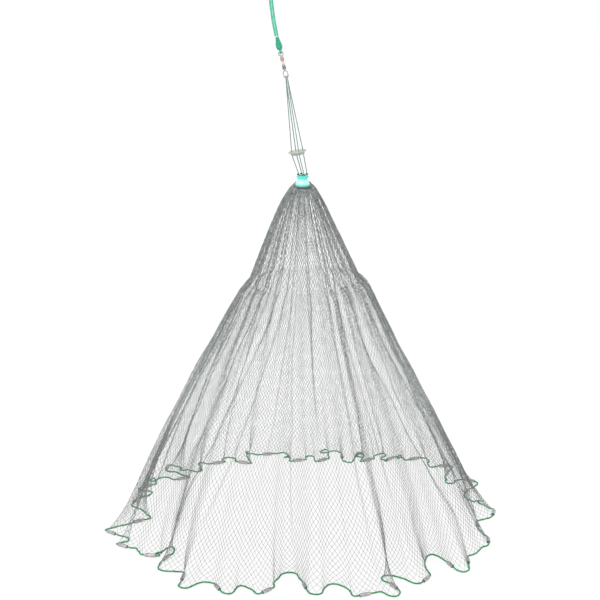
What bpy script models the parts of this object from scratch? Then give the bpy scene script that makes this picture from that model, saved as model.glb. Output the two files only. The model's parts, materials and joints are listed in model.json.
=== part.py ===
"""Cast net hung from its hand line: netting in two tiers, gathered on a collar, over a weighted hem rope.

Lengths are in metres and +Z is up. The origin is the inside top of the hand loop, where the net is held.
Places in the tables are (across, back, height): across and back are measured from the net's own upright
axis, and height is measured up from the floor that the weighted hem lies on.
"""

import math
from collections import namedtuple

import bmesh
import bpy
from mathutils import Matrix, Vector

# Where the net's axis and the floor lie, seen from the origin
LOOP_ACROSS = -0.100
LOOP_HEIGHT = 1.655

# Netting: an upper tier on the collar, and a skirt with twice the meshes under it
NET_THICK = 0.001
NET_TOP_HEIGHT = 1.004
BACK_RISE = 0.014
RISE_FOOT = 0.970
TIER_HEIGHT = 0.744
TIER_REACH = 0.164
TIER_GAP = 0.004
SHOULDER_REACH = 0.183
SHOULDER_TUCK = 0.006
SHOULDER_DROP = 0.030
PLEAT_SHARE = 0.30
CROWN_COLUMNS = 72
SKIRT_COLUMNS = 216
HEM_CLEARANCE = 0.014

# Hem rope and the lead tubes threaded on it
ROPE_DIAMETER = 0.005
SINKER_LENGTH = 0.032
SINKER_DIAMETER = 0.011
SINKER_BORE = 0.0068
SINKER_SIDES = 8
SINKER_STRAIGHT = 0.0205
SINKER_CHORD = 0.012
ROPE_STEP = 0.023
ROPE_EASE = 0.030
TURN_STEPS = 24

# Collar, disc and the brail cords between them and the swivel
COLLAR_TOP_HEIGHT = 1.036
COLLAR_LENGTH = 0.036
COLLAR_NECK_RADIUS = 0.0185
COLLAR_BORE_RADIUS = 0.0115
LASHING_THICK = 0.0040
KNOT_CIRCLE = 0.0125
KNOT_RADIUS = 0.0042
KNOT_FLATNESS = 0.8
DISC_CENTRE = (-0.0145, 0.0, 1.102)
DISC_LEAN = math.radians(9)
DISC_HOLE_CIRCLE = 0.0165
DISC_HOLE_DIAMETER = 0.0056
DISC_TOP = 0.0045
DISC_FOOT = -0.0070
BRAIL_DIAMETER = 0.0032
BRAIL_BEARINGS = (195, 285, 15, 105)
BRAIL_SLACK = 0.0016
LEG_STEPS = 6

# Swivel: distances are along its leaning axis, up from the wire that the brail cords hang on
SWIVEL_FOOT = (-0.045, 0.0, 1.312)
SWIVEL_LEAN = math.radians(13.2)
WIRE_RADIUS = 0.0015
LOWER_EYE_HEIGHT = 0.0200
LOWER_EYE_HALF_WIDTH = 0.0062
BARREL_START = 0.0235
BARREL_LENGTH = 0.0360
BARREL_RADIUS = 0.0055
WAIST_RADIUS = 0.0043
STEM_RADIUS = 0.0018
HEAD_RADIUS = 0.0030
UPPER_EYE_RADIUS = 0.0062
EYE_CLEARANCE = 0.0015
LIP_LENGTH = 0.003
HEAD_LENGTH = 0.0025
EYE_STEPS = 24
RUNNING_GAP = 0.0004

# Hand line: one rope doubled through the upper eye, hitched, knotted, and left with a loop for the hand
LINE_DIAMETER = 0.006
HITCH_START = 0.0815
HITCH_LENGTH = 0.036
HITCH_RADIUS = 0.0095
TOUCH_GAP = 0.0004
BIGHT_END_GAP = 0.0012

Fold = namedtuple("Fold", "crest_deg crest_reach bight_deg bight_reach sinkers")
# One row for each fold of the hem, counter-clockwise seen from above: where it swings out, where it
# tucks in, and how far along its own length, from this crest to the next, its sinkers are threaded
FOLDS = [
    Fold(97, 0.570, 102, 0.552, [0.45]),
    Fold(108, 0.578, 112, 0.492, [0.55]),
    Fold(116, 0.580, 121, 0.530, [0.55]),
    Fold(126, 0.572, 130.5, 0.512, [0.30]),
    Fold(136, 0.612, 140.5, 0.488, [0.05, 0.65]),
    Fold(144, 0.560, 152, 0.540, [0.75]),
    Fold(156, 0.560, 158, 0.512, [0.85]),
    Fold(169, 0.528, 181, 0.460, [0.60]),
    Fold(192, 0.582, 199, 0.530, [0.12]),
    Fold(204, 0.570, 207, 0.532, [0.05]),
    Fold(215, 0.530, 213, 0.437, [0.02, 0.70]),
    Fold(225, 0.555, 231, 0.530, [0.60]),
    Fold(238, 0.605, 242, 0.540, [0.72]),
    Fold(250, 0.586, 252, 0.522, []),
    Fold(258, 0.556, 265, 0.412, [0.07, 0.82]),
    Fold(274, 0.548, 279, 0.495, []),
    Fold(286, 0.586, 290, 0.574, [0.05]),
    Fold(294, 0.615, 298, 0.486, [0.24]),
    Fold(304, 0.575, 321, 0.460, [0.06, 0.82]),
    Fold(318, 0.603, 328, 0.555, [0.33]),
    Fold(338, 0.573, 353, 0.520, [0.09, 0.54, 0.96]),
    Fold(363, 0.580, 377, 0.530, [0.66]),
    Fold(388, 0.615, 394, 0.552, [0.05]),
    Fold(402, 0.640, 405, 0.600, [0.10]),
    Fold(411, 0.650, 415, 0.602, [0.40]),
    Fold(418, 0.612, 421, 0.556, [0.30]),
    Fold(424, 0.618, 427, 0.520, [0.50]),
    Fold(430, 0.590, 432, 0.488, [0.12, 0.75]),
    Fold(439, 0.588, 443, 0.482, [0.59]),
    Fold(447, 0.532, 452, 0.476, [0.38]),
]

Section = namedtuple("Section", "height reach")
# Upper tier, from the gathering on the collar down to the step
CROWN_SECTIONS = [
    Section(NET_TOP_HEIGHT, 0.0275),
    Section(0.994, 0.0420),
    Section(0.970, 0.0600),
    Section(0.930, 0.0765),
    Section(0.848, 0.1130),
    Section(TIER_HEIGHT, TIER_REACH),
]

Waypoint = namedtuple("Waypoint", "across height")
# Centre line of the doubled hand line above the hitch
HAND_ROUTE = [
    Waypoint(-0.0721, 1.4272),
    Waypoint(-0.0752, 1.4410),
    Waypoint(-0.0782, 1.4560),
    Waypoint(-0.0808, 1.4715),
    Waypoint(-0.0830, 1.4870),
    Waypoint(-0.0850, 1.5025),
    Waypoint(-0.0869, 1.5180),
    Waypoint(-0.0887, 1.5335),
    Waypoint(-0.0904, 1.5490),
]
KNOT_HEIGHT = 1.5640
KNOT_ACROSS = -0.0920
KNOT_HALF_LENGTH = 0.0135
HAND_KNOT_RADIUS = 0.0125
KNOT_LEAN = math.radians(-6.3)
LOOP_FOOT_ACROSS = -0.0936
LOOP_FOOT_GAP = 0.0006

LoopPart = namedtuple("LoopPart", "half_width rise")
# Half of the hand loop: how far out it lies, at this share of the way up from the knot to the loop's top
LOOP_PARTS = [
    LoopPart(0.0042, 0.00),
    LoopPart(0.0085, 0.14),
    LoopPart(0.0150, 0.32),
    LoopPart(0.0195, 0.50),
    LoopPart(0.0210, 0.66),
    LoopPart(0.0185, 0.82),
    LoopPart(0.0110, 0.95),
]

Finish = namedtuple("Finish", "colour roughness metallic")
FINISHES = {
    "netting": Finish((0.55, 0.58, 0.57), 0.45, 0.0),
    "hem_rope": Finish((0.035, 0.22, 0.08), 0.75, 0.0),
    "lead": Finish((0.30, 0.30, 0.31), 0.50, 0.9),
    "collar": Finish((0.12, 0.80, 0.68), 0.35, 0.0),
    "disc": Finish((0.82, 0.82, 0.76), 0.35, 0.0),
    "brail_cord": Finish((0.15, 0.28, 0.25), 0.70, 0.0),
    "swivel": Finish((0.62, 0.60, 0.58), 0.30, 1.0),
    "hand_line": Finish((0.10, 0.62, 0.42), 0.70, 0.0),
}


def clear_scene():
    for obj in list(bpy.data.objects):
        bpy.data.objects.remove(obj, do_unlink=True)


def place(across, back, height):
    """Turns a place measured from the net's axis and the floor into the part's own frame."""
    return Vector((across - LOOP_ACROSS, back, height - LOOP_HEIGHT))


def finish(obj, name):
    values = FINISHES[name]
    material = bpy.data.materials.get(name) or bpy.data.materials.new(name)
    material.use_nodes = True
    shader = material.node_tree.nodes["Principled BSDF"]
    shader.inputs["Base Color"].default_value = (*values.colour, 1.0)
    shader.inputs["Roughness"].default_value = values.roughness
    shader.inputs["Metallic"].default_value = values.metallic
    obj.data.materials.append(material)
    return obj


def add_object(name, data):
    obj = bpy.data.objects.new(name, data)
    parts.objects.link(obj)
    return obj


def add_cutter(name, data):
    obj = bpy.data.objects.new(name, data)
    cutters.objects.link(obj)
    obj.hide_render = True
    obj.display_type = "WIRE"
    return obj


# ---- curves and tubes

def hermite(start, start_pull, end, end_pull, t):
    return (
        start * (2 * t**3 - 3 * t**2 + 1)
        + start_pull * (t**3 - 2 * t**2 + t)
        + end * (3 * t**2 - 2 * t**3)
        + end_pull * (t**3 - t**2)
    )


def smooth_route(points, steps):
    """Points along a smooth curve through the given ones."""
    ends = [2 * points[0] - points[1]] + points + [2 * points[-1] - points[-2]]
    route = []
    for before, start, end, after in zip(ends, ends[1:], ends[2:], ends[3:]):
        for step in range(steps):
            t = step / steps
            route.append(hermite(start, (end - before) / 2, end, (after - start) / 2, t))
    return route + [points[-1]]


def make_tube(name, route, diameter, closed=False):
    """A round tube along the route, as a mesh whose caps are welded on."""
    curve = bpy.data.curves.new(name, "CURVE")
    curve.dimensions = "3D"
    curve.bevel_depth = diameter / 2
    curve.bevel_resolution = 2
    curve.use_fill_caps = not closed
    spline = curve.splines.new("POLY")
    spline.points.add(len(route) - 1)
    for point, spot in zip(spline.points, route):
        point.co = (*spot, 1.0)
    spline.use_cyclic_u = closed
    guide = bpy.data.objects.new(name + "_guide", curve)
    parts.objects.link(guide)
    mesh = bpy.data.meshes.new_from_object(guide.evaluated_get(bpy.context.evaluated_depsgraph_get()))
    bpy.data.objects.remove(guide)
    work = bmesh.new()
    work.from_mesh(mesh)
    bmesh.ops.remove_doubles(work, verts=work.verts, dist=0.00001)
    bmesh.ops.recalc_face_normals(work, faces=work.faces)
    work.to_mesh(mesh)
    work.free()
    mesh.shade_smooth()
    return add_object(name, mesh)


def make_turned(name, profile, sides, closed=False):
    """A turned solid about +Z. The profile lists (radius, height) down its outer side."""
    mesh = bpy.data.meshes.new(name)
    work = bmesh.new()
    spots = [work.verts.new((radius, 0.0, height)) for radius, height in profile]
    for start, end in zip(spots, spots[1:] + spots[:1] if closed else spots[1:]):
        work.edges.new((start, end))
    work.to_mesh(mesh)
    work.free()
    obj = add_object(name, mesh)
    turn = obj.modifiers.new("turn", "SCREW")
    turn.steps = sides
    turn.render_steps = sides
    turn.use_merge_vertices = True
    turn.merge_threshold = 0.00001
    return obj


def apply_modifiers(obj):
    mesh = bpy.data.meshes.new_from_object(obj.evaluated_get(bpy.context.evaluated_depsgraph_get()))
    obj.modifiers.clear()
    obj.data = mesh
    return obj


def boolean(obj, other, operation):
    modifier = obj.modifiers.new(operation.lower(), "BOOLEAN")
    modifier.operation = operation
    modifier.object = other


# ---- the netting's folds

def polar(degrees, reach):
    angle = math.radians(degrees)
    return Vector((reach * math.cos(angle), reach * math.sin(angle)))


def dense_hem():
    """The hem seen from above, as many short steps round the folds."""
    turns = []
    for fold in FOLDS:
        turns.append((polar(fold.crest_deg, fold.crest_reach), polar(fold.crest_deg + 90, 1)))
        turns.append((polar(fold.bight_deg, fold.bight_reach), polar(fold.bight_deg + 90, 1)))
    steps = []
    for (start, start_way), (end, end_way) in zip(turns, turns[1:] + turns[:1]):
        pull = (end - start).length
        for step in range(TURN_STEPS):
            steps.append(hermite(start, start_way * pull, end, end_way * pull, step / TURN_STEPS))
    return steps


class Hem:
    """The hem's outline, read by distance along it."""

    def __init__(self):
        self.steps = dense_hem()
        self.marks = [0.0]
        for start, end in zip(self.steps, self.steps[1:] + self.steps[:1]):
            self.marks.append(self.marks[-1] + (end - start).length)
        self.length = self.marks[-1]
        crests = self.marks[:: 2 * TURN_STEPS]
        self.sinkers = []
        for fold, start, end in zip(FOLDS, crests, crests[1:]):
            self.sinkers += [start + (end - start) * share for share in fold.sinkers]
        self.mean_reach = sum(step.length for step in self.steps) / len(self.steps)

    def at(self, share):
        """The outline's point at this share of the way round."""
        goal = (share % 1.0) * self.length
        low, high = 0, len(self.steps)
        while high - low > 1:
            middle = (low + high) // 2
            if self.marks[middle] <= goal:
                low = middle
            else:
                high = middle
        part = (goal - self.marks[low]) / (self.marks[low + 1] - self.marks[low])
        return self.steps[low].lerp(self.steps[(low + 1) % len(self.steps)], part)

    def start_bearing(self):
        """The bearing from which even steps round a circle stay nearest to the hem's own bearings."""
        count = 90
        gaps = []
        for index in range(count):
            spot = self.at(index / count)
            bearing = math.degrees(math.atan2(spot.y, spot.x)) - 360 * index / count
            gaps.append((bearing - FOLDS[0].crest_deg + 180) % 360 - 180)
        return FOLDS[0].crest_deg + sum(gaps) / count


def pleated_ring(share, reach):
    """A ring of this reach whose pleats follow the folds of the hem below it."""
    pleat = hem.at(share).length / hem.mean_reach - 1
    return polar(hem_start + 360 * share, reach * (1 + PLEAT_SHARE * pleat))


def skirt_spot(share, height):
    """A point of the skirt: straight from the pleated ring under the step down to the folded hem."""
    top = TIER_HEIGHT - TIER_GAP
    fall = (top - height) / (top - HEM_CLEARANCE)
    ruled = pleated_ring(share, SHOULDER_REACH).lerp(hem.at(share), fall)
    shoulder = max(0.0, 1 - (top - height) / SHOULDER_DROP)
    tuck = 1 - shoulder**2 * (1 - (TIER_REACH + SHOULDER_TUCK) / SHOULDER_REACH)
    return place(ruled.x * tuck, ruled.y * tuck, height)


def make_sheet(name, columns, heights, spot):
    """A closed tube of netting: a grid bent round the axis, welded up its seam and given its thickness."""
    mesh = bpy.data.meshes.new(name)
    work = bmesh.new()
    rows = len(heights) - 1
    bmesh.ops.create_grid(work, x_segments=columns, y_segments=rows, size=0.5)
    for vert in work.verts:
        share = vert.co.x + 0.5
        row = round((0.5 - vert.co.y) * rows)
        vert.co = spot(round(share * columns) / columns, heights[row])
    bmesh.ops.remove_doubles(work, verts=work.verts, dist=0.00001)
    bmesh.ops.recalc_face_normals(work, faces=work.faces)
    work.to_mesh(mesh)
    work.free()
    mesh.shade_smooth()
    obj = add_object(name, mesh)
    wall = obj.modifiers.new("wall", "SOLIDIFY")
    wall.thickness = NET_THICK
    wall.offset = 0.0
    return finish(obj, "netting")


def make_netting():
    reach_at = {section.height: section.reach for section in CROWN_SECTIONS}

    def crown_spot(share, height):
        ring = pleated_ring(share, reach_at[height])
        near_top = max(0.0, (height - RISE_FOOT) / (NET_TOP_HEIGHT - RISE_FOOT))
        rise = BACK_RISE * near_top * (1 + ring.y / ring.length) / 2
        return place(ring.x, ring.y, height + rise)

    make_sheet("net_crown", CROWN_COLUMNS, [section.height for section in CROWN_SECTIONS], crown_spot)
    top = TIER_HEIGHT - TIER_GAP
    heights = [top, top - SHOULDER_DROP, 0.53, 0.32, HEM_CLEARANCE]
    make_sheet("net_skirt", SKIRT_COLUMNS, heights, skirt_spot)


# ---- hem rope and sinkers

def rope_lift(distance):
    """How far the rope's middle rises to go through a sinker this far away."""
    rest = ROPE_DIAMETER / 2
    rise = SINKER_DIAMETER / 2 - rest
    away = max(0.0, distance - SINKER_STRAIGHT) / ROPE_EASE
    return rest + rise * max(0.0, 1 - away) ** 2


def threaded(middle):
    """The middle and the direction of the straight stretch of rope inside a sinker."""
    start = hem.at((middle - SINKER_CHORD) / hem.length)
    end = hem.at((middle + SINKER_CHORD) / hem.length)
    return (start + end) / 2, (end - start).normalized()


def rope_spot(sinker, offset):
    """The rope this far beyond a sinker's middle: straight inside it, then easing onto the hem's line."""
    centre, way = threaded(sinker)
    away = min(1.0, max(0.0, (abs(offset) - SINKER_STRAIGHT) / ROPE_EASE))
    return (centre + way * offset).lerp(hem.at((sinker + offset) / hem.length), away)


def make_hem_rope():
    """One closed rope: straight through each sinker, and following the folds in between."""
    route = []
    for start, end in zip(hem.sinkers, hem.sinkers[1:] + [hem.sinkers[0] + hem.length]):
        run = end - start - 2 * SINKER_STRAIGHT
        steps = max(3, round(run / ROPE_STEP))
        for step in range(steps + 1):
            beyond = SINKER_STRAIGHT + run * step / steps
            before = beyond + start - end
            spot = rope_spot(start, beyond) if beyond < -before else rope_spot(end, before)
            route.append(place(spot.x, spot.y, rope_lift(min(beyond, -before))))
    finish(make_tube("hem_rope", route, ROPE_DIAMETER, closed=True), "hem_rope")


def sinker_profile():
    outer = SINKER_DIAMETER / 2
    inner = SINKER_BORE / 2
    half = SINKER_LENGTH / 2
    return [(outer, half), (outer, -half), (inner, -half), (inner, half)]


def make_sinkers():
    pattern = make_turned("sinker_01", sinker_profile(), SINKER_SIDES, closed=True)
    shape = apply_modifiers(pattern).data
    finish(pattern, "lead")
    for index, middle in enumerate(hem.sinkers):
        sinker = pattern if index == 0 else add_object(f"sinker_{index + 1:02d}", shape)
        centre, way = threaded(middle)
        sinker.rotation_euler = Vector((*way, 0.0)).to_track_quat("Z", "Y").to_euler()
        sinker.location = place(centre.x, centre.y, SINKER_DIAMETER / 2)


# ---- collar, disc and brail cords

def make_collar():
    top = COLLAR_TOP_HEIGHT
    foot = top - COLLAR_LENGTH
    profile = [
        (0.0160, top), (0.0172, top - 0.002), (0.0172, top - 0.006), (0.0150, top - 0.009),
        (0.0150, top - 0.013), (0.0215, foot + 0.012), (0.0215, foot + 0.0065),
        (COLLAR_NECK_RADIUS, foot + 0.005), (COLLAR_NECK_RADIUS, foot), (0.0160, foot),
        (COLLAR_BORE_RADIUS, foot + 0.010), (COLLAR_BORE_RADIUS, top),
    ]
    collar = make_turned("crown_collar", profile, 24, closed=True)
    collar.location = place(0, 0, 0)
    finish(apply_modifiers(collar), "collar")


def make_lashing():
    """The cord that binds the gathered netting round the collar's neck, wound as one band."""
    foot = COLLAR_TOP_HEIGHT - COLLAR_LENGTH
    inner = COLLAR_NECK_RADIUS + TOUCH_GAP
    outer = inner + LASHING_THICK
    profile = [
        (outer - 0.001, foot + 0.0044), (outer, foot + 0.0034), (outer, foot + 0.0010),
        (outer - 0.001, foot), (inner, foot), (inner, foot + 0.0044),
    ]
    band = make_turned("crown_lashing", profile, 24, closed=True)
    band.location = place(0, 0, 0)
    finish(apply_modifiers(band), "brail_cord")


def knot_place(bearing):
    spot = polar(bearing, KNOT_CIRCLE)
    return place(spot.x, spot.y, COLLAR_TOP_HEIGHT + KNOT_RADIUS * KNOT_FLATNESS + TOUCH_GAP)


def make_collar_knots():
    for index, bearing in enumerate(BRAIL_BEARINGS):
        mesh = bpy.data.meshes.new(f"brail_knot_{index + 1}")
        work = bmesh.new()
        bmesh.ops.create_uvsphere(work, u_segments=10, v_segments=6, radius=KNOT_RADIUS)
        bmesh.ops.scale(work, verts=work.verts, vec=(1.0, 1.0, KNOT_FLATNESS))
        work.to_mesh(mesh)
        work.free()
        mesh.shade_smooth()
        knot = add_object(f"brail_knot_{index + 1}", mesh)
        knot.location = knot_place(bearing)
        finish(knot, "brail_cord")


def disc_frame():
    """Local axes of the disc: its own +Z is its axis, which leans with the cords."""
    return Matrix.Translation(place(*DISC_CENTRE)) @ Matrix.Rotation(-DISC_LEAN, 4, "Y")


def make_disc():
    profile = [
        (0.0000, DISC_TOP), (0.0248, DISC_TOP), (0.0260, DISC_TOP - 0.001), (0.0260, 0.0012), (0.0205, 0.0),
        (0.0198, DISC_FOOT + 0.001), (0.0185, DISC_FOOT), (0.0000, DISC_FOOT),
    ]
    disc = apply_modifiers(make_turned("spreader_disc", profile, 32))
    for index, bearing in enumerate(BRAIL_BEARINGS):
        mesh = bpy.data.meshes.new(f"disc_hole_{index + 1}")
        work = bmesh.new()
        bmesh.ops.create_cone(work, cap_ends=True, segments=12, radius1=DISC_HOLE_DIAMETER / 2,
                              radius2=DISC_HOLE_DIAMETER / 2, depth=0.03)
        spot = polar(bearing, DISC_HOLE_CIRCLE)
        bmesh.ops.translate(work, verts=work.verts, vec=(spot.x, spot.y, 0.0))
        work.to_mesh(mesh)
        work.free()
        boolean(disc, add_cutter(mesh.name, mesh), "DIFFERENCE")
    apply_modifiers(disc)
    disc.matrix_world = disc_frame()
    finish(disc, "disc")


def brail_leg(bearing, start):
    """From beside the swivel's wire, through the disc's hole, to the top of this leg's collar knot."""
    hole = polar(bearing, DISC_HOLE_CIRCLE)
    above = disc_frame() @ Vector((hole.x, hole.y, DISC_TOP + 0.001))
    below = disc_frame() @ Vector((hole.x, hole.y, DISC_FOOT - 0.001))
    end = knot_place(bearing) + Vector((0.0, 0.0, KNOT_RADIUS * KNOT_FLATNESS + 2 * TOUCH_GAP))
    knee = end + (below - end).normalized() * KNOT_RADIUS
    upper = [start.lerp(above, step / LEG_STEPS) for step in range(LEG_STEPS)]
    return upper + [above, below, below.lerp(knee, 0.5), knee, end]


def make_brail_cords():
    """Two cords, each doubled over the swivel's lower wire, so that four legs run down through the disc."""
    bend = WIRE_RADIUS + BRAIL_SLACK + BRAIL_DIAMETER / 2
    foot = swivel_frame()
    for index, (side, front, rear) in enumerate(((-1, 0, 3), (1, 1, 2))):
        across = side * (BRAIL_DIAMETER / 2 + TOUCH_GAP / 2 + 0.0001)
        over = []
        for step in range(9):
            angle = math.pi * step / 8
            over.append(foot @ Vector((across, -bend * math.cos(angle), bend * math.sin(angle))))
        front_leg = brail_leg(BRAIL_BEARINGS[front], over[0])
        rear_leg = brail_leg(BRAIL_BEARINGS[rear], over[-1])
        route = front_leg[:0:-1] + over + rear_leg[1:]
        finish(make_tube(f"brail_cord_{index + 1}", route, BRAIL_DIAMETER), "brail_cord")


# ---- swivel

def swivel_frame():
    """Local axes of the swivel: +Z runs up its leaning axis from the lower eye's wire."""
    return Matrix.Translation(place(*SWIVEL_FOOT)) @ Matrix.Rotation(-SWIVEL_LEAN, 4, "Y")


def make_barrel():
    top = BARREL_START + BARREL_LENGTH
    lip = STEM_RADIUS + RUNNING_GAP
    room = HEAD_RADIUS + RUNNING_GAP
    profile = [
        (BARREL_RADIUS - 0.001, top), (BARREL_RADIUS, top - 0.001), (BARREL_RADIUS, top - 0.011),
        (WAIST_RADIUS, top - 0.013), (WAIST_RADIUS, BARREL_START + 0.013),
        (BARREL_RADIUS, BARREL_START + 0.011), (BARREL_RADIUS, BARREL_START + 0.001),
        (BARREL_RADIUS - 0.001, BARREL_START),
        (lip, BARREL_START), (lip, BARREL_START + LIP_LENGTH), (room, BARREL_START + LIP_LENGTH),
        (room, top - LIP_LENGTH), (lip, top - LIP_LENGTH), (lip, top),
    ]
    barrel = apply_modifiers(make_turned("swivel_barrel", profile, 16, closed=True))
    barrel.matrix_world = swivel_frame()
    finish(barrel, "swivel")


def stem_profile(eye_end, barrel_end, way):
    """Stem and captive head, from the eye into the barrel. way is +1 where the barrel is above the eye."""
    neck = barrel_end + way * (LIP_LENGTH + RUNNING_GAP)
    rows = [
        (0.0, eye_end), (STEM_RADIUS, eye_end), (STEM_RADIUS, neck), (HEAD_RADIUS, neck),
        (HEAD_RADIUS, neck + way * HEAD_LENGTH), (0.0, neck + way * HEAD_LENGTH),
    ]
    return rows if way < 0 else rows[::-1]


def make_eye(name, ring, eye_end, barrel_end, way):
    """An eye is its wire ring joined to the stem that turns in the barrel."""
    stem = apply_modifiers(make_turned(name, stem_profile(eye_end, barrel_end, way), 12))
    boolean(stem, ring, "UNION")
    apply_modifiers(stem)
    stem.matrix_world = swivel_frame()
    finish(stem, "swivel")


def make_ring(name, route):
    ring = make_tube(name, route, 2 * WIRE_RADIUS, closed=True)
    parts.objects.unlink(ring)
    cutters.objects.link(ring)
    ring.hide_render = True
    ring.display_type = "WIRE"
    return ring


def make_swivel():
    make_barrel()
    half = LOWER_EYE_HALF_WIDTH
    oval = []
    for step in range(EYE_STEPS):
        angle = 2 * math.pi * step / EYE_STEPS
        stretch = LOWER_EYE_HEIGHT / 2 - half
        shift = stretch if math.sin(angle) > 0 else -stretch
        rise = half * math.sin(angle) + shift + LOWER_EYE_HEIGHT / 2
        oval.append(Vector((half * math.cos(angle), 0.0, rise)))
    make_eye("swivel_lower_eye", make_ring("lower_ring", oval), LOWER_EYE_HEIGHT, BARREL_START, 1)
    barrel_top = BARREL_START + BARREL_LENGTH
    centre = barrel_top + EYE_CLEARANCE + WIRE_RADIUS + UPPER_EYE_RADIUS
    circle = []
    for step in range(EYE_STEPS):
        angle = 2 * math.pi * step / EYE_STEPS
        side = UPPER_EYE_RADIUS * math.cos(angle)
        circle.append(Vector((side, 0.0, UPPER_EYE_RADIUS * math.sin(angle) + centre)))
    make_eye("swivel_upper_eye", make_ring("upper_ring", circle), centre - UPPER_EYE_RADIUS, barrel_top, -1)
    return centre + UPPER_EYE_RADIUS


# ---- hand line

def make_bight(wire_height):
    """The doubled rope's bend through the upper eye, up to the underside of the hitch."""
    bend = WIRE_RADIUS + TOUCH_GAP + LINE_DIAMETER / 2
    drawn_in = bend * 0.8
    frame = swivel_frame()
    route = [frame @ Vector((0.0, -drawn_in, HITCH_START - BIGHT_END_GAP))]
    for step in range(9):
        angle = math.pi * step / 8
        route.append(frame @ Vector((0.0, -bend * math.cos(angle), wire_height - bend * math.sin(angle))))
    route.append(frame @ Vector((0.0, drawn_in, HITCH_START - BIGHT_END_GAP)))
    finish(make_tube("hand_bight", route, LINE_DIAMETER), "hand_line")


def make_hitch():
    profile = [
        (0.0, HITCH_LENGTH), (0.0070, HITCH_LENGTH), (HITCH_RADIUS, HITCH_LENGTH - 0.004),
        (0.0080, HITCH_LENGTH * 0.68), (HITCH_RADIUS, HITCH_LENGTH * 0.5), (0.0080, HITCH_LENGTH * 0.32),
        (HITCH_RADIUS, 0.004), (0.0075, 0.0), (0.0, 0.0),
    ]
    hitch = apply_modifiers(make_turned("hand_hitch", profile, 16))
    hitch.matrix_world = swivel_frame() @ Matrix.Translation((0.0, 0.0, HITCH_START))
    finish(hitch, "hand_line")


def side_of(route, index):
    """The level direction across the line at one of its points."""
    start = route[max(index - 1, 0)]
    end = route[min(index + 1, len(route) - 1)]
    way = (end - start).normalized()
    return Vector((way.z, 0.0, -way.x))


def make_legs():
    middle = [place(spot.across, 0.0, spot.height) for spot in HAND_ROUTE]
    middle = smooth_route(middle, 2)
    offset = LINE_DIAMETER / 2 + TOUCH_GAP / 2
    for name, side in (("hand_leg_left", -1), ("hand_leg_right", 1)):
        route = [spot + side_of(middle, index) * side * offset for index, spot in enumerate(middle)]
        finish(make_tube(name, route, LINE_DIAMETER), "hand_line")


def make_hand_knot():
    mesh = bpy.data.meshes.new("hand_knot")
    work = bmesh.new()
    bmesh.ops.create_uvsphere(work, u_segments=14, v_segments=10, radius=1.0)
    size = (HAND_KNOT_RADIUS, HAND_KNOT_RADIUS * KNOT_FLATNESS, KNOT_HALF_LENGTH)
    bmesh.ops.scale(work, verts=work.verts, vec=size)
    work.to_mesh(mesh)
    work.free()
    mesh.shade_smooth()
    knot = add_object("hand_knot", mesh)
    spot = place(KNOT_ACROSS, 0.0, KNOT_HEIGHT)
    knot.matrix_world = Matrix.Translation(spot) @ Matrix.Rotation(KNOT_LEAN, 4, "Y")
    finish(knot, "hand_line")


def make_loop():
    """The loop above the knot: out of the knot, round the place that holds it, and back."""
    top = place(LOOP_ACROSS, 0.0, LOOP_HEIGHT + LINE_DIAMETER / 2)
    foot = place(LOOP_FOOT_ACROSS, 0.0, KNOT_HEIGHT + KNOT_HALF_LENGTH + LOOP_FOOT_GAP)
    up = (top - foot).normalized()
    out = Vector((up.z, 0.0, -up.x))
    height = (top - foot).length
    right = [foot + out * part.half_width + up * height * part.rise for part in LOOP_PARTS]
    left = [foot - out * part.half_width + up * height * part.rise for part in LOOP_PARTS]
    route = smooth_route(right + [top] + left[::-1], 2)
    finish(make_tube("hand_loop", route, LINE_DIAMETER), "hand_line")


clear_scene()
parts = bpy.data.collections.new("cast_net")
cutters = bpy.data.collections.new("cutters")
bpy.context.scene.collection.children.link(parts)
bpy.context.scene.collection.children.link(cutters)
hem = Hem()
hem_start = hem.start_bearing()
make_netting()
make_hem_rope()
make_sinkers()
make_collar()
make_lashing()
make_collar_knots()
make_disc()
make_brail_cords()
eye_wire = make_swivel()
make_bight(eye_wire)
make_hitch()
make_legs()
make_hand_knot()
make_loop()
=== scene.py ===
import json
import math
import random
from collections import namedtuple

import bmesh
import bpy
from mathutils import Matrix, Vector, noise


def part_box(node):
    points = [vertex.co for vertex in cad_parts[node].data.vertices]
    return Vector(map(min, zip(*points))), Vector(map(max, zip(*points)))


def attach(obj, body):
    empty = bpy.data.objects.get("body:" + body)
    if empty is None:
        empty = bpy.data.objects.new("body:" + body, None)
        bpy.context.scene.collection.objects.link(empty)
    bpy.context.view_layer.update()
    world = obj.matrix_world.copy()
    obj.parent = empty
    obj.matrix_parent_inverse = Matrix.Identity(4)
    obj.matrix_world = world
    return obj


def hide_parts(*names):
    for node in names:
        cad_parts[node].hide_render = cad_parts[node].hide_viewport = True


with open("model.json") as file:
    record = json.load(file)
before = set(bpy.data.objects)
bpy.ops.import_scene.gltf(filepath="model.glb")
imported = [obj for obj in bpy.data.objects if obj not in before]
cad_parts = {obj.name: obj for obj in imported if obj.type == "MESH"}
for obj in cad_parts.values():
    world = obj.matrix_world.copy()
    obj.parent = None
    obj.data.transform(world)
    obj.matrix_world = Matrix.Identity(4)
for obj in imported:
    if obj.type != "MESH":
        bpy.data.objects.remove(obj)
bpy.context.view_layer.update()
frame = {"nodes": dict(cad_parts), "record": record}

print("frame loaded:", len(frame["nodes"]), "nodes")


def boxMiddle(node):
    low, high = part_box(node)
    return (Vector(low) + Vector(high)) / 2


netAxis = boxMiddle("crown_collar")
floorLevel = float(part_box("hem_rope")[0][2])
holdPoint = Vector(frame["record"]["mounts"][0]["pos_m"])
random.seed(7)
noise.seed_set(7)


def place(across, back, height):  # measured from the net's upright axis and the floor
    return Vector((netAxis.x + across, netAxis.y + back, floorLevel + height))


def addObject(name, data):
    made = bpy.data.objects.new(name, data)
    bpy.context.scene.collection.objects.link(made)
    return made


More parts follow.
